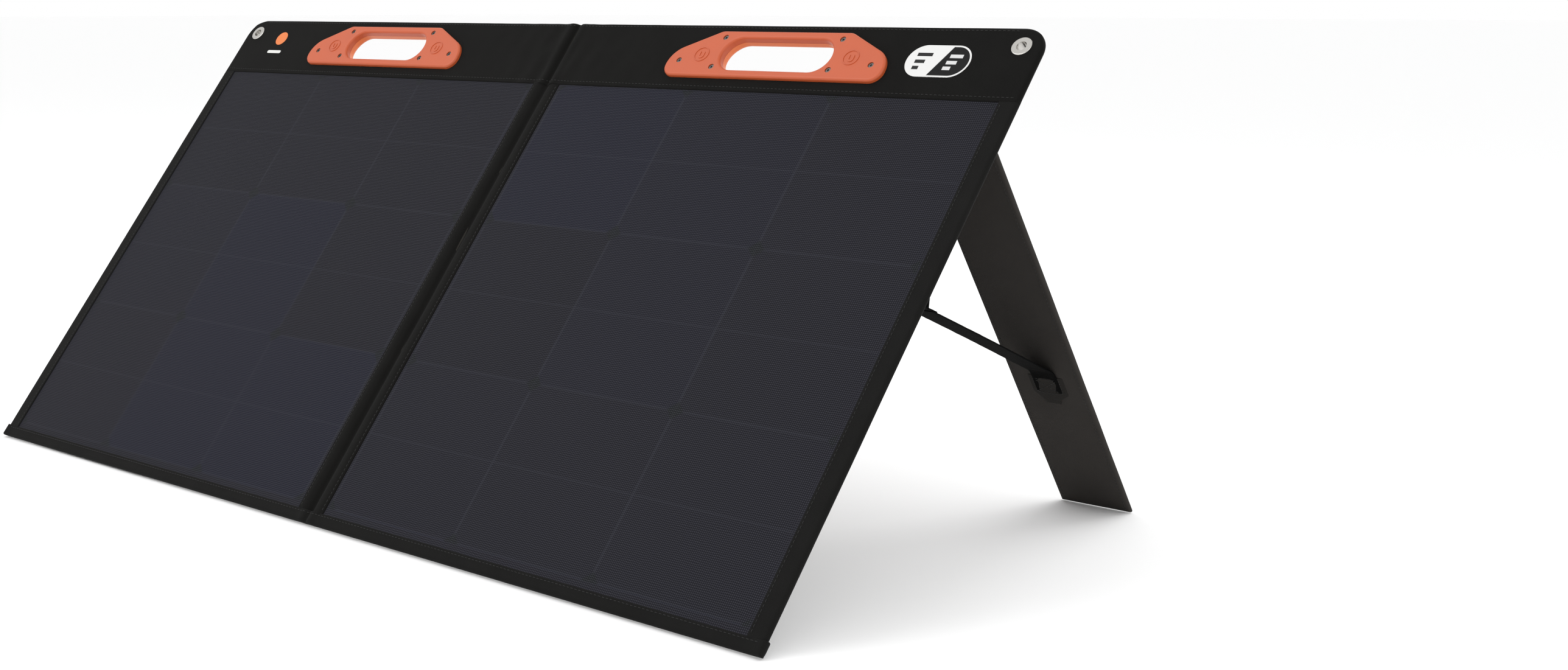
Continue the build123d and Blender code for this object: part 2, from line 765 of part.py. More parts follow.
# Puller: a wire ring round the slider's bridge, with a tab that hangs from it
BRIDGE_OUT = SLIDER_THICK + BRIDGE_GAP + BRIDGE_BAR / 2
BRIDGE = panel_point(SLIDER_FACE - BRIDGE_OUT, SLIDER_V, ZIP_MIDDLE)
PULLER_PLANE = Plane(origin=BRIDGE, x_dir=(0, 1, 0), z_dir=(1, 0, 0))
NECK_WIDTH = 3 * PULLER_WIRE
with BuildPart() as zip_puller:
    with BuildSketch(Plane(origin=BRIDGE, x_dir=(1, 0, 0), z_dir=(0, 0, 1))):
        with Locations((PULLER_RING, 0)):
            Circle(PULLER_WIRE)
    revolve(axis=Axis(BRIDGE, (0, 1, 0)), revolution_arc=360)
    with BuildSketch(PULLER_PLANE.offset(-NECK_WIDTH / 2)):
        neck_end = -PULLER_RING - PULLER_NECK - PULLER_WIDTH / 2
        rectangle(-NECK_WIDTH / 2, NECK_WIDTH / 2, neck_end, -PULLER_RING)
    extrude(amount=NECK_WIDTH)
    with BuildSketch(PULLER_PLANE.offset(-PULLER_THICK / 2)):
        tab_length = PULLER_LENGTH - PULLER_RING - PULLER_NECK
        with Locations((0, -PULLER_LENGTH + tab_length / 2)):
            SlotOverall(tab_length, PULLER_WIDTH, rotation=90)
    extrude(amount=PULLER_THICK)
keep(zip_puller, "zip_puller")

# Charge regulator: base, circuit board, sockets, lid and screws
BOX_FRONT = BACK - 0.3
BOX_BACK = BOX_FRONT - BOX_DEPTH
BOX_POSTS = [
    (POCKET_U + i * (BOX_WIDTH / 2 - 6), BOX_V + j * (BOX_HEIGHT / 2 - 6)) for i in (-1, 1) for j in (-1, 1)
]


def box_block(shrink, w, amount, mode=Mode.ADD):
    """Solid in the regulator's rounded outline, made smaller by shrink, from w."""
    with BuildSketch(layer(w)) as outline:
        with Locations((POCKET_U, BOX_V)):
            RectangleRounded(BOX_WIDTH - 2 * shrink, BOX_HEIGHT - 2 * shrink, BOX_CORNER - shrink)
    extrude(outline.sketch, amount=amount, mode=mode)


def socket_places():
    """Centres of the three sockets along the regulator's lower wall."""
    return [POCKET_U + place * SOCKET_SPACING for place in (-1, 0, 1)]


SOCKET_SIZES = ((12.0, 7.0), (9.0, 3.4), (9.0, 9.0))
SOCKET_W = BOX_FRONT - 7.5
WALL_PLANE = Plane(
    origin=panel_point(0, BOX_V - BOX_HEIGHT / 2, SOCKET_W), x_dir=(1, 0, 0), z_dir=(0, -COS, -SIN)
)

with BuildPart() as regulator_base:
    box_block(0, BOX_FRONT, -BOX_DEPTH)
    box_block(BOX_WALL, BOX_FRONT - BOX_WALL, -BOX_DEPTH, Mode.SUBTRACT)
    with BuildSketch(layer(BOX_FRONT - BOX_WALL)):
        with Locations(BOX_POSTS):
            Circle(3.4)
            Circle(BOX_SCREW_RADIUS + 0.02, mode=Mode.SUBTRACT)
    extrude(amount=BOX_WALL - BOX_DEPTH)
    with BuildSketch(WALL_PLANE):
        for u, (wide, tall) in zip(socket_places(), SOCKET_SIZES):
            with Locations((u, 0)):
                Rectangle(wide + 0.4, tall + 0.4)
    extrude(amount=-BOX_WALL - 0.5, mode=Mode.SUBTRACT)
keep(regulator_base, "regulator_base")

with BuildPart() as regulator_lid:
    box_block(0, BOX_BACK - 0.05, -BOX_LID)
    with BuildSketch(layer(BOX_BACK)):
        with Locations(BOX_POSTS):
            Circle(BOX_SCREW_RADIUS + 0.15)
    extrude(amount=-BOX_LID - 1, mode=Mode.SUBTRACT)
keep(regulator_lid, "regulator_lid")

with BuildPart() as regulator_screws:
    with BuildSketch(layer(BOX_BACK - BOX_LID - 0.1)):
        with Locations(BOX_POSTS):
            Circle(2.6)
    extrude(amount=-1.2)
    with BuildSketch(layer(BOX_BACK - BOX_LID - 0.1)):
        with Locations(BOX_POSTS):
            Circle(BOX_SCREW_RADIUS)
    extrude(amount=11)
keep(regulator_screws, "regulator_screws")

with BuildPart() as regulator_board:
    with BuildSketch(layer(BOX_FRONT - 3.6)):
        with Locations((POCKET_U, BOX_V + 9)):
            Rectangle(BOX_WIDTH - 20, BOX_HEIGHT - 26)
    extrude(amount=CIRCUIT_THICK)
    for du, dv, wide, tall, deep in ((-24, 10, 18, 12, 6.5), (8, 14, 11, 11, 5.5), (30, 8, 12, 20, 4)):
        with BuildSketch(layer(BOX_FRONT - 3.6)):
            with Locations((POCKET_U + du, BOX_V + dv)):
                Rectangle(wide, tall)
        extrude(amount=-deep)
keep(regulator_board, "regulator_board")

with BuildPart() as output_sockets:
    for u, (wide, tall) in zip(socket_places(), SOCKET_SIZES):
        with BuildSketch(WALL_PLANE.offset(0.4)):
            with Locations((u, 0)):
                Rectangle(wide, tall)
                Rectangle(wide - 1.6, tall - 1.4, mode=Mode.SUBTRACT)
        extrude(amount=-12)
        with BuildSketch(WALL_PLANE.offset(-11.6)):
            with Locations((u, 0)):
                Rectangle(wide, tall)
        extrude(amount=-1)
keep(output_sockets, "output_sockets")


def label_plate(place, w, direction):
    """A thin capsule plate lying on the panel or the pocket."""
    u, v, wide, tall = place
    with BuildPart() as plate:
        with BuildSketch(layer(w)):
            with Locations((u, v)):
                SlotOverall(wide, tall)
        extrude(amount=direction * LABEL_THICK)
    return plate


keep(label_plate(FRONT_LABEL, FABRIC + 0.02, 1), "front_label")
keep(label_plate(POCKET_LABEL, ZIP_END - COVER_THICK - 0.02, -1), "pocket_label")
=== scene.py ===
"""Looks of a folding solar panel kit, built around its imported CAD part.

Lengths in the helpers are in millimetres along tilted axes; Blender gets metres.
"""

import json
import math

import bpy
import numpy as np
from mathutils import Matrix, Vector


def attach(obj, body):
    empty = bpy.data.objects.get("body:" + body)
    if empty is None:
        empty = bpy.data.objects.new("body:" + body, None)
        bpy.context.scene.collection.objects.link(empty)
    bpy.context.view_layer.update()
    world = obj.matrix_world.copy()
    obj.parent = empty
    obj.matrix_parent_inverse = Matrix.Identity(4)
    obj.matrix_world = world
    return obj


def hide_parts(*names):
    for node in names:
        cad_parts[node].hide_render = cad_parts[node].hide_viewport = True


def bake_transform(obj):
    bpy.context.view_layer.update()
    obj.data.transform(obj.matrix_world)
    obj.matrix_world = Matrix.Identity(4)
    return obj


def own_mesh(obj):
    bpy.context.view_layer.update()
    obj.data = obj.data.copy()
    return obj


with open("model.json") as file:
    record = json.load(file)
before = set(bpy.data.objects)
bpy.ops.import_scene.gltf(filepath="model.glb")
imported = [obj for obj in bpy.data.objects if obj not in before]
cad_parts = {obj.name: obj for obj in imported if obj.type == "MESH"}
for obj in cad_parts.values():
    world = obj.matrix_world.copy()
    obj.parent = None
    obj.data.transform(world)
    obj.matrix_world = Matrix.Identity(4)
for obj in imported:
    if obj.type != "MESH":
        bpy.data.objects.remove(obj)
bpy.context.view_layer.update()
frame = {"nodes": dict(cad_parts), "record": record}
NODES = frame["nodes"]
JOINTS = {joint["name"]: joint for joint in frame["record"]["behaviour"]["joints"]}
SIDES = {"left": -1, "right": 1}
MM = 0.001


# ---------------------------------------------------------------- axes
class Axes:
    """Tilted axes: across, up and out of a face. Lengths along them are in millimetres."""

    def __init__(self, origin, up, across=(1, 0, 0)):
        self.origin = Vector(origin)
        self.up = Vector(up).normalized()
        self.across = Vector(across).normalized()
        self.out = self.across.cross(self.up)

    def matrix(self):
        return np.array([self.across, self.up, self.out])

    def at(self, u, v, w):
        """Points in the shared frame, in metres."""
        u, v, w = np.broadcast_arrays(u, v, w)
        local = np.stack([u, v, w], -1).reshape(-1, 3).astype(float)
        return local @ self.matrix() * MM + np.array(self.origin)

    def point(self, u, v, w):
        return Vector(self.at(u, v, w)[0])

    def span(self, *names):
        """Lowest and highest places of CAD nodes along the axes."""
        co = np.array([v.co for name in names for v in NODES[name].data.vertices])
        local = (co - np.array(self.origin)) @ self.matrix().T / MM
        return local.min(0), local.max(0)


def joint_place(joint):
    return Vector(JOINTS[joint]["pos_m"])


PANEL = Axes((0, 0, 0), -Vector(JOINTS["centre_fold"]["axis"]))
foot = PANEL.span("bottom_binding_left", "bottom_binding_right")[0][1]
face = PANEL.span("front_sheet_left", "front_sheet_right")[1][2]
PANEL.origin = PANEL.up * (foot * MM) + PANEL.out * (face * MM)

LEG, STRAP, ELASTIC = {}, {}, {}
for side in SIDES:
    opening = math.radians(JOINTS[f"leg_{side}_fold"]["range_deg"][1])
    down = Matrix.Rotation(opening, 3, "X") @ -PANEL.up
    LEG[side] = Axes(joint_place(f"leg_{side}_fold"), down)
    low, high = joint_place(f"brace_panel_{side}_fold"), joint_place(f"brace_leg_{side}_fold")
    STRAP[side] = Axes(low, high - low)
    reach = STRAP[side].span(f"brace_panel_{side}")[1][1]
    rise = STRAP[side].span(f"brace_leg_{side}")[0][1]
    root = joint_place(f"brace_elastic_{side}_fold")
    ELASTIC[side] = Axes(root, STRAP[side].point(0, (reach + rise) / 2, 0) - root)

BAND_LO, BAND_HI = PANEL.span("band_cover_right")
TAPE_LO, TAPE_HI = PANEL.span("side_binding_right")
HEM_LO, HEM_HI = PANEL.span("bottom_binding_right")
BACK_LO, BACK_HI = PANEL.span("rear_fabric_right")
STRIP_HI = PANEL.span("fold_strip_right")[1]
GRIP_LO, GRIP_HI = PANEL.span("handle_front_right")
HALF, TOP = BAND_HI[0], BAND_HI[1]
FOLD_LEFT = PANEL.point(-15, TOP / 2, 0)
FOLD_RIGHT = PANEL.point(15, TOP / 2, 0)


# ---------------------------------------------------------------- materials
def operation(name):
    """A method that feeds its values into one math node."""
    return lambda *values: values[0].shade.math(name, *values)


class Value:
    """A node output that takes part in sums."""

    def __init__(self, shade, socket):
        self.shade = shade
        self.socket = socket

    __add__ = __radd__ = operation("ADD")
    __sub__ = operation("SUBTRACT")
    __mul__ = __rmul__ = operation("MULTIPLY")
    __truediv__ = operation("DIVIDE")
    sin, abs, frac, floor = map(operation, ("SINE", "ABSOLUTE", "FRACT", "FLOOR"))

    def below(self, limit, soft):
        """1 where the value is under the limit, 0 above it, with a soft edge."""
        return self.shade.ease(self, limit + soft, limit - soft)

    def above(self, limit, soft):
        return self.shade.ease(self, limit - soft, limit + soft)


class Shade:
    """A procedural material in a few calls."""

    def __init__(self, name, **sockets):
        self.material = bpy.data.materials.new(name)
        self.material.use_nodes = True
        self.tree = self.material.node_tree
        self.shader = self.tree.nodes["Principled BSDF"]
        for key, value in sockets.items():
            self.set(key.replace("_", " ").title().replace("Ior", "IOR"), value)

    def feed(self, socket, value):
        if isinstance(value, Value):
            self.tree.links.new(value.socket, socket)
        else:
            socket.default_value = value

    def node(self, kind, inputs, output=0, **settings):
        """A new node with its settings and inputs; its output as a Value."""
        made = self.tree.nodes.new("ShaderNode" + kind)
        for key, value in settings.items():
            setattr(made, key, value)
        for key, value in inputs.items():
            self.feed(made.inputs[key], value)
        return Value(self, made.outputs[output])

    def math(self, operation, *values):
        return self.node("Math", dict(enumerate(values)), operation=operation)

    def ease(self, value, start, end):
        return self.node("MapRange", {"Value": value, "From Min": start, "From Max": end},
                         interpolation_type="SMOOTHSTEP")

    def maximum(self, a, b):
        return self.math("MAXIMUM", a, b)

    def places(self, axes):
        """Place along tilted axes in millimetres: across, up, out, and the three as a vector."""
        coords = self.node("TexCoord", {}, "Object")
        shift = self.node("VectorMath", {0: coords, 1: axes.origin}, operation="SUBTRACT")
        along = [self.node("VectorMath", {0: shift, 1: direction / MM}, "Value", operation="DOT_PRODUCT")
                 for direction in (axes.across, axes.up, axes.out)]
        return *along, self.vector(*along)

    def vector(self, x, y, z):
        return self.node("CombineXYZ", {0: x, 1: y, 2: z})

    def noise(self, vector, size, detail, rough):
        """Cloudy noise from 0 to 1 whose patches are about size."""
        return self.node("TexNoise", {"Vector": vector, "Scale": 1.0 / size, "Detail": detail,
                                      "Roughness": rough}, "Fac")

    def scatter(self, vector):
        """One random number for each whole step of the vector."""
        return self.node("TexWhiteNoise", {"Vector": vector}, "Value")

    def mix(self, share, a, b):
        return self.node("Mix", {0: share, 6: colour(a), 7: colour(b)}, 2, data_type="RGBA")

    def set(self, socket, value):
        self.feed(self.shader.inputs[socket], value)

    def bump(self, height, depth):
        """Relief of the given depth in millimetres."""
        self.set("Normal", self.node("Bump", {"Strength": 1.0, "Distance": depth * MM, "Height": height}))


def colour(value):
    """A grey or an RGB triple as Blender's RGBA; sockets pass through."""
    if isinstance(value, Value):
        return value
    if isinstance(value, (int, float)):
        value = (value, value, value)
    return (*value, 1.0)


def woven(name, axes, dark, light, pitch=0.9, depth=0.16, sheen=0.03, rough=0.86, stripe=0.0, gloss=0.07,
          rear=None):
    """Plain-woven cloth; stripe above 0 makes it a ribbed tape with ribs of that pitch.
    rear is (depth, dark, light): the tones behind that depth, painted light that gives a piece's back face the
    lighter look of the lit back."""
    shade = Shade(name, roughness=rough, sheen_weight=sheen, sheen_roughness=0.45, specular_ior_level=gloss)
    u, v, w, place = shade.places(axes)
    turn = math.tau / pitch
    threads = (u * turn).sin() * (v * turn).sin() * 0.5 + 0.5
    if stripe:
        threads = (v * (math.tau / stripe)).sin() * 0.42 + (u * turn).sin() * 0.12 + 0.5
    lint = shade.noise(place, 0.55, 2.0, 0.7)
    cloud = shade.noise(place, 38.0, 4.0, 0.6)
    tone = threads * 0.35 + lint * 0.45 + cloud * 0.5 - 0.15
    base = shade.mix(tone, dark, light)
    # Painted light: behind the given depth, the back face takes the lighter tones of the lit back.
    if rear:
        base = shade.mix(w.below(rear[0], 0.5), base, shade.mix(tone, *rear[1:]))
    shade.set("Base Color", base)
    shade.bump(threads * 0.6 + lint * 0.5, depth)
    return shade.material


FILM_PITCH = 1.8
CELLS_ACROSS = 3
CELL_CLIP = 8.6
FILM_GREY = (0.0072, 0.0071, 0.0105), (0.0115, 0.0112, 0.0162)
CELL_BLUE, CELL_LINE, CORNER_GAP = (0.0075, 0.009, 0.0225), (0.034, 0.036, 0.047), (0.0055, 0.0075, 0.0062)
DOT_BRIGHT, DOT_DARK = (0.038, 0.038, 0.047), (0.002, 0.002, 0.004)


def laminate(name, cells, pitch):
    """Dark textured film over square cells, with their faint outlines."""
    shade = Shade(name, roughness=0.5, specular_ior_level=0.06)
    u, v, w, place = shade.places(PANEL)
    across, along = u.abs() - cells[0], v - cells[1]
    column, row = across / pitch, along / pitch
    gap_u = ((column + 0.5).frac() - 0.5).abs() * pitch
    gap_v = ((row + 0.5).frac() - 0.5).abs() * pitch
    end = CELLS_ACROSS * pitch - 1
    inside = across.above(-1, 1) * across.below(end, 1) * along.above(-1, 1) * along.below(end, 1)
    seam = shade.maximum(gap_u.below(1.2, 0.8), gap_v.below(1.2, 0.8) * 0.7)
    diamond = (gap_u + gap_v).below(CELL_CLIP, 1.6) * inside
    half_cut = (((row.frac() - 0.5).abs()) * pitch).below(0.9, 0.6)
    side_of_fold = shade.math("SIGN", u)
    each = shade.scatter(shade.vector(column.floor() + side_of_fold * 11.0, row.floor(), 0.0))
    turn = math.pi / FILM_PITCH
    sway = shade.noise(place, 9.0, 2.0, 0.5) * 1.8
    dots = ((u + v + sway) * turn).sin() * ((u - v - sway) * turn).sin() * 0.5 + 0.5
    speck = shade.noise(place, 1.1, 2.0, 0.7)
    cloud = shade.noise(place, 210.0, 3.0, 0.5)
    base = shade.mix(each * 0.55 + cloud * 0.5 - 0.1, *FILM_GREY)
    base = shade.mix(each.above(0.6, 0.25) * 0.55 * inside, base, CELL_BLUE)
    base = shade.mix(shade.maximum(seam * 0.3, half_cut * 0.18) * inside, base, CELL_LINE)
    base = shade.mix(diamond * 0.75, base, CORNER_GAP)
    base = shade.mix(dots.above(0.66, 0.24) * (speck * 0.9 + 0.35), base, DOT_BRIGHT)
    base = shade.mix(dots.below(0.2, 0.16) * 0.6, base, DOT_DARK)
    shade.set("Base Color", base)
    shade.bump(dots * 0.75 + speck * 0.3, 0.14)
    return shade.material


def moulded(name, dark, light, rough, grain=0.35):
    """Moulded plastic with a fine grain and slightly rubbed patches."""
    shade = Shade(name, specular_ior_level=0.5)
    place = shade.places(PANEL)[-1]
    fine = shade.noise(place, grain, 2.0, 0.6)
    patch = shade.noise(place, 22.0, 4.0, 0.6)
    shade.set("Base Color", shade.mix(patch * 0.8 + fine * 0.3 - 0.1, dark, light))
    shade.set("Roughness", patch * 0.14 + (rough - 0.07))
    shade.bump(fine, 0.03)
    return shade.material


def metal(name, tone, rough=0.22):
    """Bright metal with fine scratches and dulled patches."""
    shade = Shade(name, metallic=1.0)
    u, v, w, _ = shade.places(PANEL)
    place = shade.vector(u, v, w * 4.0)
    marks = shade.noise(place, 0.5, 3.0, 0.7)
    dull = shade.noise(place, 4.0, 3.0, 0.6)
    shade.set("Base Color", shade.mix(dull, tone, tuple(c * 0.82 for c in tone)))
    shade.set("Roughness", dull * 0.16 + marks * 0.08 + (rough - 0.1))
    shade.bump(marks, 0.012)
    return shade.material


def coated(name, base, rough=0.3, pitch=1.6):
    """Coated cloth: a soft gloss with a leather-like grain."""
    shade = Shade(name, specular_ior_level=0.5, coat_weight=0.25, coat_roughness=0.28)
    place = shade.places(PANEL)[-1]
    grain = shade.node("TexVoronoi", {"Vector": place, "Scale": 1.0 / pitch}, "Distance",
                       feature="DISTANCE_TO_EDGE")
    cloud = shade.noise(place, 30.0, 3.0, 0.6)
    shade.set("Base Color", shade.mix(cloud, base, tuple(c * 1.7 for c in base)))
    shade.set("Roughness", cloud * 0.15 + (rough - 0.06))
    shade.bump(grain, 0.05)
    return shade.material


def cell_blue(name):
    """Bare silicon with its print of thin silver fingers."""
    shade = Shade(name, roughness=0.25, specular_ior_level=0.6)
    u, v, w, place = shade.places(PANEL)
    fingers = (v * (math.tau / 1.6)).sin().above(0.93, 0.04)
    cloud = shade.noise(place, 45.0, 3.0, 0.5)
    base = shade.mix(cloud, (0.012, 0.016, 0.045), (0.02, 0.026, 0.07))
    shade.set("Base Color", shade.mix(fingers * 0.6, base, 0.35))
    shade.bump(fingers, 0.02)
    return shade.material


PLATE_BLACK, PLATE_PALE = (0.005, 0.005, 0.005), (0.7, 0.7, 0.69)
PLATE_SLANT = math.radians(14.0)
PLATE_RIM = 1.5
# Bars of a plate, as shares of its size: left, right, height, grey
PLATE_BARS = (
    (-0.36, -0.12, 0.20, 0.02), (-0.36, -0.20, -0.02, 0.02), (-0.36, -0.26, -0.22, 0.02),
    (0.16, 0.36, 0.16, 0.62), (0.14, 0.30, -0.04, 0.62), (0.12, 0.24, -0.22, 0.62),
)


def plate(name, centre, size):
    """Printed plate: pale on one side of a slanted line, black on the other, with plain bars."""
    shade = Shade(name, roughness=0.45, specular_ior_level=0.1)
    u, v, w, place = shade.places(PANEL)
    x, y = u - centre[0], v - centre[1]
    slope = x + y * math.tan(PLATE_SLANT) * -2.0
    radius = size[1] / 2
    core = shade.maximum(x.abs() - (size[0] / 2 - radius), 0.0)
    rim = shade.math("POWER", core * core + y * y, 0.5).above(radius - PLATE_RIM, 0.12)
    field = shade.mix(slope.below(0.04 * size[0], 0.15), PLATE_BLACK, PLATE_PALE)
    for left, right, height, tone in PLATE_BARS:
        bar = (x.above(left * size[0], 0.1) * x.below(right * size[0], 0.1)
               * (y - height * size[1]).abs().below(size[1] * 0.055, 0.1))
        field = shade.mix(bar, field, tone)
    field = shade.mix(rim, field, PLATE_PALE)
    scuff = shade.noise(place, 3.0, 3.0, 0.6)
    shade.set("Base Color", shade.mix(scuff * 0.04, field, 0.12))
    shade.set("Roughness", scuff * 0.2 + 0.35)
    shade.bump(scuff, 0.01)
    return shade.material


def board_green(name):
    """Circuit board with copper tracks under its mask."""
    shade = Shade(name, roughness=0.35, specular_ior_level=0.5)
    u, v, w, place = shade.places(PANEL)
    tracks = ((u * 0.9).sin() * (v * 1.3).sin()).above(0.35, 0.06)
    cloud = shade.noise(place, 6.0, 2.0, 0.5)
    base = shade.mix(cloud, (0.01, 0.07, 0.03), (0.014, 0.1, 0.045))
    shade.set("Base Color", shade.mix(tracks * 0.5, base, (0.05, 0.22, 0.08)))
    shade.bump(tracks, 0.05)
    return shade.material


def both_sides(stem, axes, dark, light, **look):
    """The same cloth for each side's own axes."""
    return {side: woven(f"{stem}_{side}", axes[side], dark, light, **look) for side in SIDES}


CELLS_LO, CELLS_HI = PANEL.span("solar_cells_right")
CELL_GAP = 2.0
CELL_PITCH = (CELLS_HI[0] - CELLS_LO[0] + CELL_GAP) / CELLS_ACROSS
FRONT_TONES = (0.0024, 0.0023, 0.0021), (0.0088, 0.0085, 0.0078)
# Tones of the cloth on the back, lighter than the front's: partly the cloth's own tone, partly painted light of
# the lit back.
REAR_TONES_WITH_PAINTED_LIGHT = (0.0125, 0.0117, 0.0102), (0.0275, 0.0258, 0.0225)
LAMINATE = laminate("laminate", CELLS_LO - CELL_GAP / 2, CELL_PITCH)
FABRIC = woven("panel_fabric", PANEL, *FRONT_TONES)
REAR = woven("rear_fabric", PANEL, *REAR_TONES_WITH_PAINTED_LIGHT, pitch=1.1, gloss=0.1)
# The band's back face gets the back's lighter tones: painted light on the same black cloth as its front.
BAND = woven("band_fabric", PANEL, *FRONT_TONES, rear=(-2.2, *REAR_TONES_WITH_PAINTED_LIGHT))
TAPE = woven("edge_tape", PANEL, (0.0038, 0.0038, 0.0037), (0.0125, 0.0122, 0.0115), pitch=1.2, depth=0.2)
THREAD = woven("thread", PANEL, (0.012, 0.012, 0.012), (0.034, 0.034, 0.033), pitch=0.5, rough=0.6, gloss=0.2)
ORANGE = moulded("orange_plastic", (0.45, 0.074, 0.018), (0.515, 0.09, 0.024), 0.44)
# A lighter copy of the same orange plastic for the rear handle: painted light on the back, not a different
# plastic.
ORANGE_REAR_PAINTED_LIGHT = moulded("orange_plastic_rear_painted_light", (0.66, 0.16, 0.045), (0.76, 0.2, 0.062), 0.42)
NICKEL = metal("nickel", (0.56, 0.545, 0.515), rough=0.18)
# The screws' steel is darkened: partly the metal's own tone, partly painted shade of the recesses they sit in.
STEEL_WITH_PAINTED_SHADE = metal("screw_steel_painted_shade", (0.17, 0.16, 0.155), rough=0.25)
BLACK = moulded("black_plastic", (0.012, 0.012, 0.013), (0.026, 0.026, 0.027), 0.5)
PULLER = moulded("puller_rubber", (0.008, 0.008, 0.008), (0.02, 0.02, 0.02), 0.4)
GLASS_FIBRE = moulded("glass_fibre", (0.12, 0.14, 0.1), (0.2, 0.22, 0.16), 0.6, grain=1.2)
COATED = coated("coated_cloth", (0.0065, 0.0065, 0.0062))
PIPING = coated("piping", (0.008, 0.008, 0.008), rough=0.22, pitch=2.4)
LEG_CLOTH = both_sides("leg_fabric", LEG, (0.0235, 0.0212, 0.0194), (0.0455, 0.0412, 0.0377), pitch=1.0)
PATCH_CLOTH = both_sides("patch_fabric", LEG, (0.012, 0.0108, 0.01), (0.027, 0.025, 0.0225), pitch=1.0)
WEBBING = both_sides("webbing", STRAP, (0.0014, 0.0014, 0.0014), (0.006, 0.006, 0.0058), pitch=2.2,
                     stripe=1.25, depth=0.3, sheen=0.0, gloss=0.03)
ELASTIC_CLOTH = both_sides("elastic", ELASTIC, (0.005, 0.005, 0.005), (0.022, 0.022, 0.023), pitch=1.4,
                           stripe=0.8, depth=0.2)
COVER_CLOTH = woven("cover_fabric", PANEL, (0.008, 0.0078, 0.007), (0.0165, 0.016, 0.0145), pitch=0.7,
                    depth=0.06, sheen=0.04, rough=0.6)

FINISHES = {
    LAMINATE: ["front_sheet"], cell_blue("cell_silicon"): ["solar_cells"],
    metal("tinned_ribbon", (0.6, 0.6, 0.62)): ["cell_ribbons"], GLASS_FIBRE: ["backing_board"],
    ORANGE: ["handle_front"], ORANGE_REAR_PAINTED_LIGHT: ["handle_rear"], PULLER: ["zip_puller"],
    BLACK: ["band_stiffener", "leg_board", "regulator_base", "regulator_lid", "zip_slider"],
    STEEL_WITH_PAINTED_SHADE: ["handle_screws", "regulator_screws"], board_green("circuit_board"): ["regulator_board"],
    NICKEL: ["handle_magnets", "eyelet", "eyelet_washer", "output_sockets"],
}
FINISH_OF = {stem: finish for finish, stems in FINISHES.items() for stem in stems}
for name, piece in NODES.items():
    stem = name.removesuffix("_left").removesuffix("_right")
    finish = FINISH_OF.get(stem)
    if name.endswith("_label"):
        low, high = PANEL.span(name)
        finish = plate(name, (low + high)[:2] / 2, (high - low)[:2])
    if finish:
        piece.data.materials.clear()
        piece.data.materials.append(finish)


# ---------------------------------------------------------------- mesh helpers
def new_mesh(name, points, faces, smooth=True):
    """A mesh object without the points that no face uses."""
    points, faces = np.asarray(points, float), np.asarray(faces, int)
    used = np.unique(faces)
    place = np.zeros(len(points), int)
    place[used] = np.arange(len(used))
    mesh = bpy.data.meshes.new(name)
    mesh.from_pydata(points[used].tolist(), [], place[faces].tolist())
    mesh.update()
    if smooth:
        mesh.shade_smooth()
    made = bpy.data.objects.new(name, mesh)
    bpy.context.scene.collection.objects.link(made)
    return made


def finish_piece(made, material, slot, body=None, blend=None, replaces=()):
    """Material, body and CAD nodes of a finished piece."""
    made.data.materials.append(material)
    if blend:
        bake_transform(made)
    else:
        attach(made, body)
    if replaces:
        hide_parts(*replaces)
    return made


def pair(stem):
    """Both sides' names of a CAD node."""
    return f"{stem}_left", f"{stem}_right"


def ticks(start, end, step, edge):
    """Places from start to end, closer together at both ends so that an edge can be round."""
    corner = edge * (1 - np.cos(np.linspace(0, math.pi / 2, 5)))
    count = max(1, round((end - start - 2 * edge) / step))
    middle = np.linspace(start + edge, end - edge, count + 1)
    return np.concatenate([start + corner[:-1], middle, end - corner[-2::-1]])


def ripple(u, v, size, seed, stretch=1.0, waves=10):
    """Smooth unevenness between about -1 and 1 whose features are about size."""
    draw = np.random.default_rng(seed)
    total = 0.0 * u
    for _ in range(waves):
        angle = draw.uniform(0, math.pi)
        pitch = size * draw.uniform(0.6, 1.9)
        phase = draw.uniform(0, math.tau)
        along = u * math.cos(angle) + v / stretch * math.sin(angle)
        total = total + np.sin(along * math.tau / pitch + phase)
    return total / waves * 1.8


def rounding(distance, radius):
    """Share of the full thickness at a distance inside a rounded edge."""
    depth = np.clip(distance / radius, 0, 1)
    return np.maximum(np.sqrt(np.clip(1 - (1 - depth) ** 2, 0, 1)), 0.06)


def squeeze(x, y):
    """How far a place in a square corner is pulled in to make the corner round, as shares of its radius."""
    return x - x * np.sqrt(1 - y * y / 2), y - y * np.sqrt(1 - x * x / 2)


def run_length(path):
    """How far each point is along a path."""
    return np.concatenate([[0], np.cumsum(np.linalg.norm(np.diff(path, axis=0), axis=1))])


def along_path(places, path):
    """Points of a path of pairs at given distances along it."""
    return np.stack([np.interp(places, run_length(path), path[:, k]) for k in (0, 1)], 1)


def layer_faces(shape, kept=None):
    """Faces of a closed layer whose two skins are grids of points; kept is false over a hole."""
    if kept is None:
        kept = np.ones((shape[0] - 1, shape[1] - 1), bool)
    count = shape[0] * shape[1]
    index = np.arange(count).reshape(shape)
    corners = (index[:-1, :-1], index[1:, :-1], index[1:, 1:], index[:-1, 1:])
    a, b, c, d = (corner[kept] for corner in corners)
    faces = [np.stack([a, b, c, d], 1), np.stack([a, d, c, b], 1) + count]
    ring = np.pad(kept, 1)
    beside = (ring[1:-1, :-2], ring[2:, 1:-1], ring[1:-1, 2:], ring[:-2, 1:-1])
    for k, neighbour in enumerate(beside):
        rim = kept & ~neighbour
        first, second = corners[k][rim], corners[(k + 1) % 4][rim]
        faces.append(np.stack([second, first, first + count, second + count], 1))
    return np.concatenate(faces)


def repeated(quads, count, size):
    """The same faces on each of many copies of size points."""
    return (np.array(quads)[None] + (np.arange(count) * size)[:, None, None]).reshape(-1, 4)


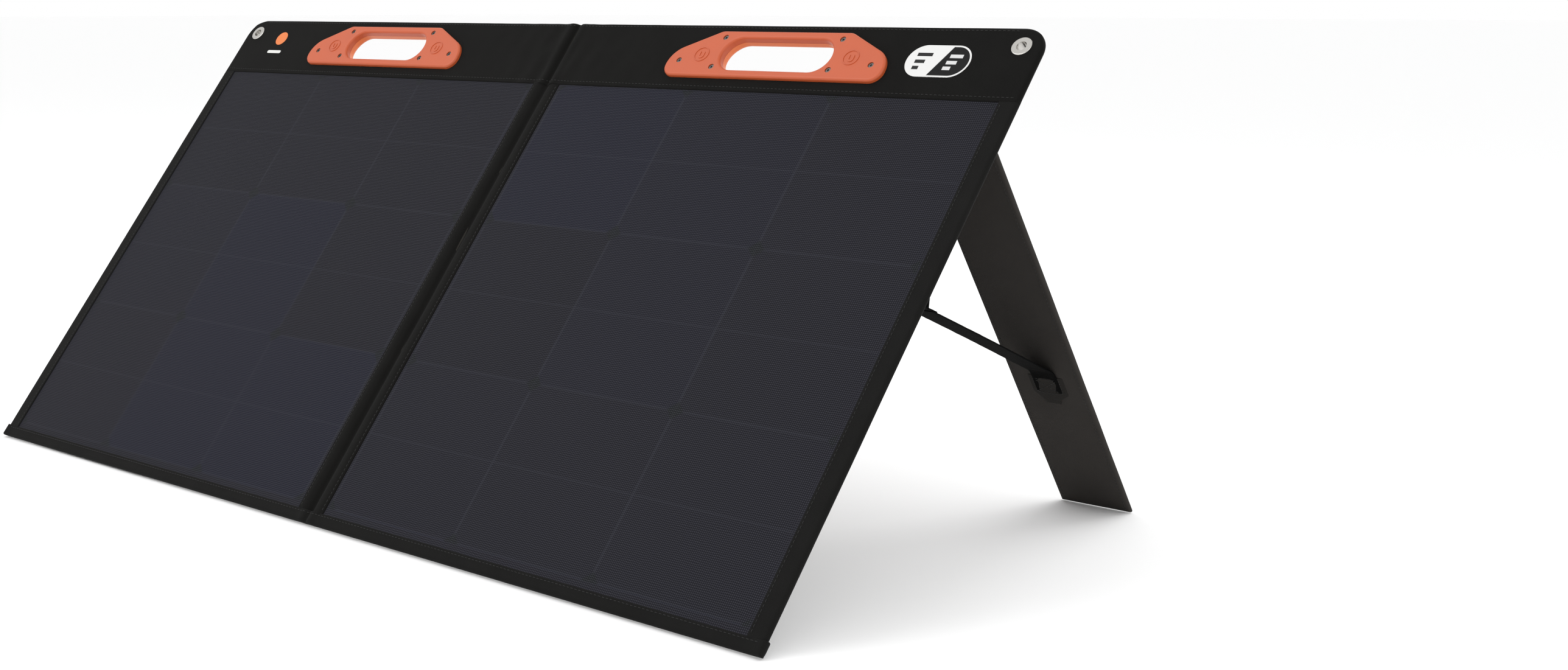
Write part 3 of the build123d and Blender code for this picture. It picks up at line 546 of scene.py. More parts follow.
def slab(name, axes, us, vs, front, back, radii, cut=None, bend=None):
    """A closed layer between two surfaces over a grid. radii round its four edges:
    low u, high u, low v, high v. cut is true where there is no material."""
    u, v = np.meshgrid(us, vs, indexing="ij")
    edges = (u - us[0], us[-1] - u, v - vs[0], vs[-1] - v)
    share = np.ones_like(u)
    for distance, radius in zip(edges, radii):
        if radius:
            share = np.minimum(share, rounding(distance, radius))
    if bend:
        u, v = bend(u, v)
    top, bottom = front(u, v) + 0 * u, back(u, v) + 0 * u
    middle, half = (top + bottom) / 2, (top - bottom) / 2 * share
    points = np.concatenate([axes.at(u, v, middle + half), axes.at(u, v, middle - half)])
    kept = None
    if cut:
        gone = cut(u, v)
        kept = ~(gone[:-1, :-1] | gone[1:, :-1] | gone[:-1, 1:] | gone[1:, 1:])
    return new_mesh(name, points, layer_faces(u.shape, kept))


STITCH_SIDES, STITCH_RADIUS = 6, 0.32
# Rings of a stitch: place along it, radius, lift
STITCH_RINGS = ((-0.5, 0.35, -0.75), (-0.36, 0.9, 0.1), (0.0, 1.0, 0.55), (0.36, 0.9, 0.1),
                (0.5, 0.35, -0.75))


def stitches(name, axes, lines, height, slot="binding", pitch=4.2, length=2.9, flip=1, **place):
    """Rows of single stitches along lines of (u, v) points; height gives the surface under them,
    and flip is -1 on a surface that faces back."""
    centres, along = [], []
    for line in lines:
        line = np.array(line, float)
        reach = run_length(line)[-1]
        count = max(1, int(reach // pitch))
        mid = (np.arange(count) + 0.5) * reach / count
        start, end = along_path(mid - length / 2, line), along_path(mid + length / 2, line)
        centres.append((start + end) / 2)
        along.append((end - start) / np.linalg.norm(end - start, axis=1, keepdims=True))
    centres, along = np.concatenate(centres), np.concatenate(along)
    w = height(centres[:, 0], centres[:, 1]) + 0 * centres[:, 0]
    turn = np.arange(STITCH_SIDES) * math.tau / STITCH_SIDES
    rings = [(x * length, math.cos(t) * r * STITCH_RADIUS, (math.sin(t) * r + lift) * STITCH_RADIUS)
             for x, r, lift in STITCH_RINGS for t in turn]
    x, y, z = np.array(rings).T
    u = centres[:, :1] + along[:, :1] * x - along[:, 1:] * y * flip
    v = centres[:, 1:] + along[:, 1:] * x + along[:, :1] * y * flip
    grid = np.arange(x.size).reshape(-1, STITCH_SIDES)
    beside = np.roll(grid, -1, 1)
    walls = np.stack([grid[:-1], grid[1:], beside[1:], beside[:-1]], -1).reshape(-1, 4)
    caps = [(0, 1, 2, 3), (0, 3, 4, 5)], grid[-1, 0] + np.array([(3, 2, 1, 0), (5, 4, 3, 0)])
    made = new_mesh(name, axes.at(u, v, w[:, None] + z * flip),
                    repeated(np.concatenate([walls, *caps]), len(centres), x.size))
    return finish_piece(made, THREAD, slot, **place)


# ---------------------------------------------------------------- panel fabric
FOLD_BLEND = ("panel_left", "panel_right", FOLD_LEFT, FOLD_RIGHT)
NEAR_FOLD = np.linspace(-44, 44, 59)


def across_fold(end, step, edge):
    """Places from end to end, the same on both sides and closest together near the fold."""
    half = ticks(40, end, step, edge)
    return np.unique(np.concatenate([-half, half, NEAR_FOLD]).round(5))


def valley(u, width, depth):
    return depth * np.exp(-((u / width) ** 2))


def ridges(u, place, width, height):
    return height * np.exp(-(((np.abs(u) - place) / width) ** 2))


def near_fold(u):
    """Share of the creases, which die away from the fold."""
    return np.exp(-np.abs(u) / 48)


def band_front(u, v):
    creases = ripple(u, v, 26, 3, stretch=2.2) * 0.75 * near_fold(u) + ripple(u, v, 90, 4) * 0.18
    return BAND_HI[2] + creases + ridges(u, 8, 4.5, 0.9) - valley(u, 2.6, 2.9)


def band_back(u, v):
    creases = ripple(u, v, 30, 5, stretch=2.0) * 0.6 * near_fold(u) + ripple(u, v, 80, 6) * 0.2
    return BAND_LO[2] - creases - ridges(u, 8, 4.5, 0.6) + valley(u, 2.6, 1.2)


CORNER = 25.0


def round_corner(u, v):
    """Squeeze the square outer corners of the band into its round ones."""
    x = np.clip((np.abs(u) - (HALF - CORNER)) / CORNER, 0, 1)
    y = np.clip((v - (TOP - CORNER)) / CORNER, 0, 1)
    in_x, in_y = squeeze(x, y)
    return u - np.sign(u) * in_x * CORNER, v - in_y * CORNER


GRIP_U = (GRIP_LO[0] + GRIP_HI[0]) / 2
GRIP_V = (GRIP_LO[1] + GRIP_HI[1]) / 2
GRIP_HALF, GRIP_RADIUS = 61.0, 18.0
EYELET_LO, EYELET_HI = PANEL.span("eyelet_right")
EYELET_U, EYELET_V = (EYELET_LO + EYELET_HI)[:2] / 2


def band_cut(u, v):
    """Where the band is open: the finger slots and the eyelets."""
    reach = np.maximum(np.abs(np.abs(u) - GRIP_U) - (GRIP_HALF - GRIP_RADIUS), 0)
    slot = np.hypot(reach, v - GRIP_V) < GRIP_RADIUS + 3.6
    hole = np.hypot(np.abs(u) - EYELET_U, v - EYELET_V) < 5.4
    return slot | hole


finish_piece(
    slab("band_fabric", PANEL, across_fold(HALF, 2.8, 3.2), ticks(BAND_LO[1] - 1.2, TOP, 2.6, 3.2),
         band_front, band_back, (3.2, 3.2, 0.9, 3.2), band_cut, round_corner),
    BAND, "fabric", blend=FOLD_BLEND, replaces=pair("band_cover"),
)


def rear_surface(u, v):
    inside = np.clip(np.minimum(HALF - 22 - np.abs(u), np.minimum(v - 14, 500 - v)) / 30, 0, 1)
    wander = u - 4.5 * np.sin(v / 61.0) - 3.0 * np.sin(v / 23.0 + 1.0)
    swell = 0.35 * ripple(u, v, 170, 11) + 0.22 * ripple(u, v, 60, 12) - 0.35
    fold = ridges(wander, 9, 5, 1.3) - valley(wander, 3.0, 1.6)
    return BACK_LO[2] + (swell - fold) * inside


rear = finish_piece(
    slab("rear_cloth", PANEL, across_fold(HALF - TAPE_HI[2] - 16, 7, 1), ticks(1.2, BAND_LO[1] + 4, 7, 1),
         lambda u, v: rear_surface(u, v) + 0.9, rear_surface, (0, 0, 0, 0)),
    REAR, "fabric", blend=FOLD_BLEND, replaces=pair("rear_fabric"),
)


def strip_front(u, v):
    creases = ripple(u, v, 45, 21, stretch=2.5) * 0.35
    return 0.35 + creases + ridges(u, 11, 4.5, 0.75) - valley(u, 3.6, 2.7)


finish_piece(
    slab("fold_fabric", PANEL, np.linspace(-STRIP_HI[0] - 0.6, STRIP_HI[0] + 0.6, 33),
         ticks(11, BAND_LO[1] + 1, 5, 1), strip_front, lambda u, v: BACK_HI[2] - 0.06, (0.8, 0.8, 0, 0)),
    FABRIC, "fabric", blend=FOLD_BLEND, replaces=pair("fold_strip"),
)


def tape_front(u, v):
    return TAPE_HI[2] + 0.12 + ripple(u, v, 55, 31, stretch=2.0) * 0.16


def tape_back(u, v):
    return TAPE_LO[2] - 0.1 - ripple(u, v, 55, 32, stretch=2.0) * 0.15


for side, sign in SIDES.items():
    us = ticks(TAPE_LO[0], HALF, 1.6, 2.6) if sign > 0 else ticks(-HALF, -TAPE_LO[0], 1.6, 2.6)
    finish_piece(
        slab(f"side_tape_{side}", PANEL, us, ticks(HEM_HI[1] - 1, BAND_LO[1] + 2, 5, 1), tape_front,
             tape_back, (0.8, 3.0, 0, 0) if sign > 0 else (3.0, 0.8, 0, 0)),
        TAPE, "binding", body=f"panel_{side}", replaces=(f"side_binding_{side}",),
    )


def hem_bulge(u, height):
    """Swelling of the bottom tape at its outer end."""
    return height * np.exp(-(((HEM_HI[0] - np.abs(u)) / 7.0) ** 2))


def hem_front(u, v):
    creases = ripple(u, v, 50, 41) * 0.2
    return HEM_HI[2] + 0.1 + creases + hem_bulge(u, 1.5) + ridges(u, 7, 4, 0.6) - valley(u, 2.4, 1.6)


def hem_back(u, v):
    creases = ripple(u, v, 50, 42) * 0.12 * np.clip((v - 3) / 5, 0, 1)
    return HEM_LO[2] - creases - hem_bulge(u, 0.9) * np.clip((v - 1) / 4, 0, 1)


finish_piece(
    slab("bottom_tape", PANEL, across_fold(HEM_HI[0], 3.5, 3.0), ticks(0.0, HEM_HI[1], 1.5, 2.4), hem_front,
         hem_back, (3.4, 3.4, 2.6, 0.8)),
    TAPE, "binding", blend=FOLD_BLEND, replaces=pair("bottom_binding"),
)

# Stitching of the panel
FULL = np.linspace(-HALF + 5, HALF - 5, 240)
UPPER = np.linspace(-HALF + CORNER + 3, HALF - CORNER - 3, 240)
BAND_ROWS = [np.stack([us, 0 * us + v], 1) for us, v in ((FULL, BAND_LO[1] + 3.4), (UPPER, TOP - 4.2))]
HEM_ROW = np.stack([FULL, 0 * FULL + HEM_HI[1] - 2.8], 1)


def side_row(u):
    """A row of stitches up the panel, from the bottom tape to the band."""
    return [(u, HEM_HI[1] + 2), (u, BAND_LO[1] - 3)]


stitches("band_stitching", PANEL, BAND_ROWS, band_front, blend=FOLD_BLEND)
stitches("band_stitching_rear", PANEL, BAND_ROWS, band_back, flip=-1, blend=FOLD_BLEND)
stitches("hem_stitching", PANEL, [HEM_ROW], hem_front, blend=FOLD_BLEND)
stitches("fold_stitching", PANEL, [side_row(-15.0), side_row(15.0)], strip_front, blend=FOLD_BLEND)
for side, sign in SIDES.items():
    row = side_row(sign * (TAPE_LO[0] + 3.0))
    stitches(f"tape_stitching_{side}", PANEL, [row], tape_front, body=f"panel_{side}")
    stitches(f"tape_stitching_rear_{side}", PANEL, [row], tape_back, flip=-1, body=f"panel_{side}")


# ---------------------------------------------------------------- legs
LEG_LO, LEG_HI = LEG["right"].span("leg_cover_right")
half = (LEG_HI[0] - LEG_LO[0]) / 2
for side, seed in (("left", 50), ("right", 60)):
    axes = LEG[side]

    def leg_front(u, v, seed=seed):
        quiet = np.clip((v - 30) / 60, 0.25, 1)
        return LEG_HI[2] + ripple(u, v, 75, seed, stretch=1.6) * 0.22 * quiet

    def leg_back(u, v, seed=seed):
        return LEG_LO[2] - ripple(u, v, 75, seed + 1, stretch=1.6) * 0.18

    finish_piece(
        slab(f"leg_sleeve_{side}", axes, ticks(-half, half, 3, 2.0), ticks(LEG_LO[1], LEG_HI[1], 5, 2.0),
             leg_front, leg_back, (2.2, 2.2, 2.0, 1.6)),
        LEG_CLOTH[side], "leg_fabric", body=f"leg_{side}", replaces=(f"leg_cover_{side}",),
    )
    edge, top, low = half - 4.0, LEG_LO[1] + 8, LEG_HI[1] - 4.0
    ring = [(-edge, top), (-edge, low), (edge, low), (edge, top)]
    stitches(f"leg_stitching_{side}", axes, [ring], leg_front, "leg_fabric", body=f"leg_{side}")
    stitches(f"leg_stitching_inner_{side}", axes, [ring], leg_back, "leg_fabric", flip=-1, body=f"leg_{side}")


# ---------------------------------------------------------------- straps and hinge flaps
PATH_STEP = 1.5


def smooth_path(points):
    """A rounded line through the neighbourhood of a few points of a side view."""
    path = np.array(points, float)
    for _ in range(4):
        near, far = path[:-1] * 0.75 + path[1:] * 0.25, path[:-1] * 0.25 + path[1:] * 0.75
        path = np.concatenate([path[:1], np.stack([near, far], 1).reshape(-1, 2), path[-1:]])
    length = run_length(path)[-1]
    return along_path(np.linspace(0, length, max(8, int(length / PATH_STEP))), path)


def ribbon(name, axes, middle_u, path, width, thick, uneven, seed):
    """A flat band along a side-view path of (v, w) points, with rounded edges."""
    tangent = np.gradient(path, axis=0)
    tangent /= np.linalg.norm(tangent, axis=1, keepdims=True)
    run = run_length(path)
    edge = min(1.0, thick)
    u, s = np.meshgrid(ticks(-width / 2, width / 2, 2.2, edge), run, indexing="ij")
    share = rounding(np.minimum(width / 2 - np.abs(u), np.minimum(s, run[-1] - s) + 0.4), edge * 0.8)
    lift = uneven * ripple(u, s, 16, seed, stretch=0.6)
    skins = []
    for sign in (1, -1):
        offset = lift + sign * thick / 2 * share
        skins.append(axes.at(middle_u + u, path[:, 0] - tangent[:, 1] * offset,
                             path[:, 1] + tangent[:, 0] * offset))
    return new_mesh(name, np.concatenate(skins), layer_faces(u.shape))


def in_panel(axes, v, w):
    """A side-view point of other axes, in the panel's side view."""
    offset = axes.point(0, v, w) - PANEL.origin
    return offset.dot(PANEL.up) / MM, offset.dot(PANEL.out) / MM


def patch_back(u, v):
    """Outer face of a leg's patch, raised over the strap's tail."""
    return LEG_LO[2] - 0.25 - 1.75 * np.exp(-((u / 13.0) ** 6)) + 0 * v


FLAP_LO, FLAP_HI = PANEL.span("leg_flap_right")
FLAP_W = FLAP_LO[2] + 0.4
FLAP_SEAM = 37.0
ELASTIC_SIZE = np.ptp(ELASTIC["right"].span("brace_elastic_right"), 0)
STRAP_WIDTH, _, STRAP_THICK = np.ptp(STRAP["right"].span("brace_panel_right"), 0)
TAIL_W = BACK_LO[2] - 1.0
for side, sign in SIDES.items():
    leg, strap, elastic = LEG[side], STRAP[side], ELASTIC[side]
    body, leg_body = f"panel_{side}", f"leg_{side}"
    middle_u = (leg.origin.x - PANEL.origin.x) / MM

    def on_leg(v, w, leg=leg):
        return in_panel(leg, v, w)

    def on_strap(v, sag=0.0, strap=strap):
        return in_panel(strap, v, sag)

    def middle(place, middle_u=middle_u):
        """A side-view point, in the middle of this leg's width."""
        return PANEL.point(middle_u, *place)

    # Flap: from the panel's back over the hinge to the leg's outer face
    path = smooth_path([(FLAP_HI[1], FLAP_W), (FLAP_LO[1] + 7, FLAP_W - 0.2),
                        (FLAP_LO[1] + 4.5, FLAP_W - 2.5), on_leg(2, LEG_HI[2] + 0.9),
                        on_leg(6, LEG_HI[2] + 0.8), on_leg(12.5, LEG_HI[2] + 0.8)])
    flap = ribbon(f"hinge_flap_{side}", PANEL, middle_u, path, FLAP_HI[0] - FLAP_LO[0], 1.1, 0.6, 70 + sign)
    finish_piece(flap, REAR, "fabric", replaces=(f"leg_flap_{side}",),
                 blend=(body, leg_body, middle((FLAP_LO[1] + 8, FLAP_W)), middle(on_leg(6, LEG_HI[2]))))
    rows = [[(middle_u - FLAP_SEAM, FLAP_HI[1] - drop), (middle_u + FLAP_SEAM, FLAP_HI[1] - drop)]
            for drop in (2.4, 6.4)]
    stitches(f"flap_stitching_{side}", PANEL, rows, lambda u, v: FLAP_W - 0.75, "fabric", flip=-1, body=body)
    # Lower run of the brace, from a tail sewn to the panel up to where the elastic meets it
    meeting = strap.span(f"brace_panel_{side}")[1][1] + 1.0
    strap_end = strap.span(f"brace_leg_{side}")[1][1] + 1.0
    pin = on_strap(0)
    path = smooth_path([(pin[0] - 20, TAIL_W), (pin[0] - 5, TAIL_W), on_strap(2.5), on_strap(12),
                        on_strap(meeting * 0.5, -0.2), on_strap(meeting - 6, -0.3), on_strap(meeting + 3)])
    run = ribbon(f"strap_lower_{side}", PANEL, middle_u, path, STRAP_WIDTH, STRAP_THICK, 0.12, 80 + sign)
    finish_piece(run, WEBBING[side], "webbing", replaces=(f"brace_panel_{side}",),
                 blend=(body, f"brace_panel_{side}", middle((pin[0] - 7, TAIL_W)), middle(on_strap(9))))
    # Upper run, from there to the leg
    pin_v = (strap.point(0, strap_end, 0) - leg.origin).dot(leg.up) / MM
    path = smooth_path([on_strap(meeting - 4, -0.9), on_strap(meeting + 6, -0.8),
                        on_strap((meeting + strap_end) / 2, -0.2), on_strap(strap_end - 12, -0.6),
                        on_strap(strap_end - 2.5), on_leg(pin_v + 5, LEG_LO[2] - 1.1),
                        on_leg(pin_v + 26, LEG_LO[2] - 1.1)])
    run = ribbon(f"strap_upper_{side}", PANEL, middle_u, path, STRAP_WIDTH, STRAP_THICK, 0.12, 90 + sign)
    finish_piece(run, WEBBING[side], "webbing", replaces=(f"brace_leg_{side}",),
                 blend=(leg_body, f"brace_leg_{side}", middle(on_leg(pin_v + 7, LEG_LO[2])),
                        middle(on_strap(strap_end - 9))))
    # Patch sewn over the strap's tail on the leg's inner face
    patch_lo, patch_hi = leg.span(f"leg_patch_{side}")

    def point_end(u, v, low=patch_hi[1] + 6):
        """Clip the lower corners of the patch."""
        return u * np.clip((low - v) / 11, 0.42, 1), v

    patch = slab(f"strap_patch_{side}", leg, ticks(patch_lo[0] - 3, patch_hi[0] + 3, 2.2, 0.8),
                 ticks(patch_lo[1] + 6, patch_hi[1] + 6, 2.2, 0.8), lambda u, v: patch_back(u, v) + 1.0,
                 patch_back, (0.7, 0.7, 0.7, 0.7), bend=point_end)
    finish_piece(patch, PATCH_CLOTH[side], "webbing", body=leg_body, replaces=(f"leg_patch_{side}",))
    left, right, top, low = patch_lo[0] + 1.5, patch_hi[0] - 1.5, patch_lo[1] + 8.5, patch_hi[1] - 8
    rows = [[(left, top), (right, top), (right, low), (left, low), (left, top)], [(left, top), (right, low)],
            [(right, top), (left, low)]]
    stitches(f"patch_stitching_{side}", leg, rows, patch_back, "webbing", pitch=3.2, length=2.3, flip=-1,
             body=leg_body)
    # Elastic from the hinge flap down to the meeting point
    length = elastic.span(f"brace_elastic_{side}")[1][1] + 1.0
    path = smooth_path([(-3, 0.3), (length * 0.3, 0.5), (length * 0.7, -0.4), (length + 1.5, 0)])
    band = ribbon(f"elastic_{side}", elastic, 0.0, path, ELASTIC_SIZE[0], ELASTIC_SIZE[2] + 0.2, 0.08,
                  100 + sign)
    finish_piece(band, ELASTIC_CLOTH[side], "elastic", body=f"brace_elastic_{side}",
                 replaces=(f"brace_elastic_{side}",))
    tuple(elastic.up)
    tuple(elastic.origin)
    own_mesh(band)


# ---------------------------------------------------------------- pocket
COVER_LO, COVER_HI = PANEL.span("pocket_cover")
GUSSET_LO, GUSSET_HI = PANEL.span("pocket_gusset")
ZIP_LO, ZIP_HI = PANEL.span("pocket_zip")
PIPING_LO, PIPING_HI = PANEL.span("pocket_piping")
POCKET_MID = (ZIP_LO + ZIP_HI)[:2] / 2
POCKET_SIZE = (ZIP_HI - ZIP_LO)[:2] - 0.8
POCKET_CORNER = 28.0


def outline(step=3.0):
    """Points and outward directions round the pocket's rounded rectangle."""
    inner = POCKET_SIZE / 2 - POCKET_CORNER
    corners, points, outward = [], [], []
    for quarter, signs in enumerate(((1, 1), (-1, 1), (-1, -1), (1, -1))):
        turn = np.radians(np.linspace(quarter * 90, quarter * 90 + 90, 15))
        arc = np.stack([np.cos(turn), np.sin(turn)], 1)
        corners.append((inner * signs + arc * POCKET_CORNER, arc))
    for k, (corner, arc) in enumerate(corners):
        end, begin = corner[-1], corners[(k + 1) % 4][0][0]
        count = max(2, int(np.linalg.norm(begin - end) / step))
        points += [corner, end + (begin - end) * (np.arange(1, count) / count)[:, None]]
        outward += [arc, np.repeat(arc[-1:], count - 1, 0)]
    return np.concatenate(points) + POCKET_MID, np.concatenate(outward)


RIM, RIM_OUT = outline()
RIM_RUN = run_length(RIM)


def sweep(name, profile, uneven=0.0, size=25.0, seed=1):
    """Carry a closed profile of (outward, w) points round the pocket's outline."""
    profile = np.array(profile, float)
    offset = profile[None, :, 0] + uneven * ripple(RIM_RUN[:, None], profile[None, :, 1] * 3, size, seed)
    u = RIM[:, None, 0] + RIM_OUT[:, None, 0] * offset
    v = RIM[:, None, 1] + RIM_OUT[:, None, 1] * offset
    w = profile[None, :, 1] + uneven * 0.5 * ripple(RIM_RUN[:, None], 0 * offset, size, seed + 1)
    index = np.arange(u.size).reshape(u.shape)
    after, beside = np.roll(index, -1, 0), np.roll(index, -1, 1)
    faces = np.stack([index, after, np.roll(after, -1, 1), beside], -1).reshape(-1, 4)
    return new_mesh(name, PANEL.at(u, v, w), faces)


wall_top, wall_end = GUSSET_HI[2], GUSSET_LO[2]
gusset_profile = [(-1.0, wall_top), (5.6, wall_top), (6.1, wall_top - 0.5), (5.6, wall_top - 1.1),
                  (1.4, wall_top - 1.3), (0.5, wall_top - 2.6), (0.75, wall_top - 6), (1.0, wall_top - 10),
                  (0.7, wall_end + 4), (0.1, wall_end + 0.8), (-0.3, wall_end), (-0.9, wall_end),
                  (-1.0, wall_end + 1)]
finish_piece(sweep("pocket_wall", gusset_profile, 0.25, 34, 121), COATED, "coated", body="panel_left",
             replaces=("pocket_gusset",))
zip_top, zip_end = ZIP_HI[2], ZIP_LO[2]
zip_mid = (zip_top + zip_end) / 2
tape_profile = [(-1.0, zip_top + 0.4), (0.15, zip_top + 0.3), (0.3, zip_mid + 0.9), (-0.1, zip_mid),
                (0.3, zip_mid - 0.9), (0.15, zip_end - 0.2), (-1.0, zip_end - 0.2)]
finish_piece(sweep("zip_tape", tape_profile), TAPE, "zip", body="panel_left", replaces=("pocket_zip",))


def zip_teeth(pitch=1.7):
    """Coil teeth as a row of small bars round the pocket."""
    count = int(RIM_RUN[-1] // pitch)
    run = (np.arange(count) + 0.5) * RIM_RUN[-1] / count
    (u, v), (ou, ov) = (np.stack([np.interp(run, RIM_RUN, line[:, k]) for k in (0, 1)])[..., None]
                        for line in (RIM, RIM_OUT))
    shift = np.where(np.arange(count) % 2, 0.22, -0.22)[:, None]
    x, y, z = np.array([(x, y, z) for x in (-0.42, 0.42) for y in (-0.25, 0.65) for z in (-1.05, 1.05)]).T
    points = PANEL.at(u - ov * x + ou * y, v + ou * x + ov * y, zip_mid + shift + z)
    quads = [(0, 1, 3, 2), (4, 6, 7, 5), (0, 4, 5, 1), (2, 3, 7, 6), (0, 2, 6, 4), (1, 5, 7, 3)]
    return new_mesh("zip_teeth", points, repeated(quads, count, x.size), smooth=False)


finish_piece(zip_teeth(), BLACK, "zip", body="panel_left")
PIPING_RADIUS = 1.55
piping_w = (PIPING_HI[2] + PIPING_LO[2]) / 2 - 0.2
piping_profile = [(0.25 + math.cos(t) * PIPING_RADIUS, piping_w + math.sin(t) * PIPING_RADIUS)
                  for t in np.arange(14) * math.tau / 14]
finish_piece(sweep("pocket_welt", piping_profile), PIPING, "coated", body="pocket_flap",
             replaces=("pocket_piping",))


def cover_shape(u, v):
    """Squeeze a rectangle's square corners into the pocket's round ones."""
    inner = POCKET_SIZE / 2 - POCKET_CORNER
    du, dv = u - POCKET_MID[0], v - POCKET_MID[1]
    in_x, in_y = squeeze(np.clip((np.abs(du) - inner[0]) / POCKET_CORNER, 0, 1),
                         np.clip((np.abs(dv) - inner[1]) / POCKET_CORNER, 0, 1))
    return u - np.sign(du) * in_x * POCKET_CORNER, v - np.sign(dv) * in_y * POCKET_CORNER


SEAM_INSET = 7.0
COVER_SWELL = 4.2
CLOTH_SETTINGS = {"quality": 6, "mass": 0.3, "tension_stiffness": 40, "compression_stiffness": 40,
                  "shear_stiffness": 15, "bending_stiffness": 3.0, "shrink_min": -0.004,
                  "vertex_group_mass": "held"}


def cover_ticks(start, end):
    """Places over the cover, closer together at its edges and round its seam."""
    seam = SEAM_INSET + np.linspace(-2.4, 2.4, 7)
    middle = np.linspace(start + 12, end - 12, round((end - start - 24) / 5.5) + 1)
    return np.concatenate([ticks(start, start + 3.9, 3, 3.0)[:5], start + seam, middle, (end - seam)[::-1],
                           end - ticks(0, 3.9, 3, 3.0)[4::-1]])


cover_us = cover_ticks(COVER_LO[0] + 0.2, COVER_HI[0] - 0.2)
cover_vs = cover_ticks(COVER_LO[1] + 0.2, COVER_HI[1] - 0.2)


COVER_GRID = np.meshgrid(cover_us, cover_vs, indexing="ij")
# How far each point of the grid is from the cover's edge
COVER_INSET = np.min([COVER_GRID[0] - cover_us[0], cover_us[-1] - COVER_GRID[0],
                      COVER_GRID[1] - cover_vs[0], cover_vs[-1] - COVER_GRID[1]], 0)


def cover_puff():
    """How far the cover's skin swells, from a cloth simulation of it held at its edge."""
    u, v = cover_shape(*COVER_GRID)
    index = np.arange(u.size).reshape(u.shape)
    faces = np.stack([index[:-1, :-1], index[1:, :-1], index[1:, 1:], index[:-1, 1:]], -1).reshape(-1, 4)
    skin = new_mesh("cover_skin", np.stack([u, v, 0 * u], -1).reshape(-1, 3) * MM, faces)
    held = skin.vertex_groups.new(name="held")
    held.add(np.nonzero(COVER_INSET.ravel() < 2.0)[0].tolist(), 1.0, "REPLACE")
    cloth = skin.modifiers.new("cloth", "CLOTH")
    for key, setting in CLOTH_SETTINGS.items():
        setattr(cloth.settings, key, setting)
    cloth.collision_settings.use_collision = False
    cloth.collision_settings.use_self_collision = False
    scene = bpy.context.scene
    for moment in range(1, 26):
        scene.frame_set(moment)
    shown = skin.evaluated_get(bpy.context.evaluated_depsgraph_get())
    height = np.array([point.co.z for point in shown.data.vertices]).reshape(u.shape) / -MM
    bpy.data.objects.remove(skin)
    scene.frame_set(1)
    return COVER_SWELL * np.clip(height / height.max(), 0, 1)


PUFF = cover_puff() - 1.3 * np.exp(-(((COVER_INSET - SEAM_INSET) / 1.1) ** 2))
print("cover swells by", round(float(PUFF.max()), 2), "mm")
cover = slab("pocket_lid", PANEL, cover_us, cover_vs, lambda u, v: COVER_HI[2],
             lambda u, v: COVER_LO[2] - PUFF, (1.6, 1.6, 1.6, 1.6), bend=cover_shape)
finish_piece(cover, COVER_CLOTH, "fabric", body="pocket_flap", replaces=("pocket_cover",))


def cover_height(u, v):
    """Height of the swollen cover away from its corners."""
    column, row = (np.clip(np.interp(place, line, np.arange(len(line))), 0, len(line) - 1.001)
                   for place, line in ((u, cover_us), (v, cover_vs)))
    i, j = column.astype(int), row.astype(int)
    a, b = column - i, row - j
    low = PUFF[i, j] * (1 - a) + PUFF[i + 1, j] * a
    high = PUFF[i, j + 1] * (1 - a) + PUFF[i + 1, j + 1] * a
    return COVER_LO[2] - (low * (1 - b) + high * b)


def capsule(u, v, middle, size):
    """Shape a rectangle's points into a capsule."""
    full, radius = size[0] / 2, size[1] / 2
    reach = np.sqrt(np.clip(radius ** 2 - (v - middle[1]) ** 2, 0, None))
    return middle[0] + (u - middle[0]) / full * (full - radius + reach), v


def printed_capsule(name, ink, middle, size, body, surface, low, high, counts=(25, 17), **place):
    """A thin capsule lying on a surface, between two heights over it."""
    us = np.linspace(middle[0] - size[0] / 2, middle[0] + size[0] / 2, counts[0])
    vs = middle[1] + size[1] / 2 * np.sin(np.linspace(-1, 1, counts[1]) * math.pi / 2)
    made = slab(name, PANEL, us, vs, lambda u, v: surface(u, v) + high, lambda u, v: surface(u, v) + low,
                (0, 0, 0, 0), bend=lambda u, v: capsule(u, v, middle, size))
    finish_piece(made, ink, "label", body=body, **place)


PLATE_LO, PLATE_HI = PANEL.span("pocket_label")
PLATE_MID, PLATE_SIZE = (PLATE_LO + PLATE_HI)[:2] / 2, (PLATE_HI - PLATE_LO)[:2]
printed_capsule("cover_plate", NODES["pocket_label"].data.materials[0], PLATE_MID, PLATE_SIZE, "pocket_flap",
                cover_height, -0.35, 0.05, (41, 25), replaces=("pocket_label",))


# ---------------------------------------------------------------- prints
def print_ink(name, tone):
    """Screen print: ink that lets a little of the weave show."""
    shade = Shade(name, roughness=0.5, specular_ior_level=0.3)
    u, v, w, place = shade.places(PANEL)
    weave = (u * math.tau).sin() * (v * math.tau).sin() * 0.5 + 0.5
    worn = shade.noise(place, 1.4, 2.0, 0.6)
    shade.set("Base Color", shade.mix(weave * 0.18 + worn * 0.14, tone, tuple(c * 0.5 for c in tone)))
    shade.bump(weave, 0.04)
    return shade.material


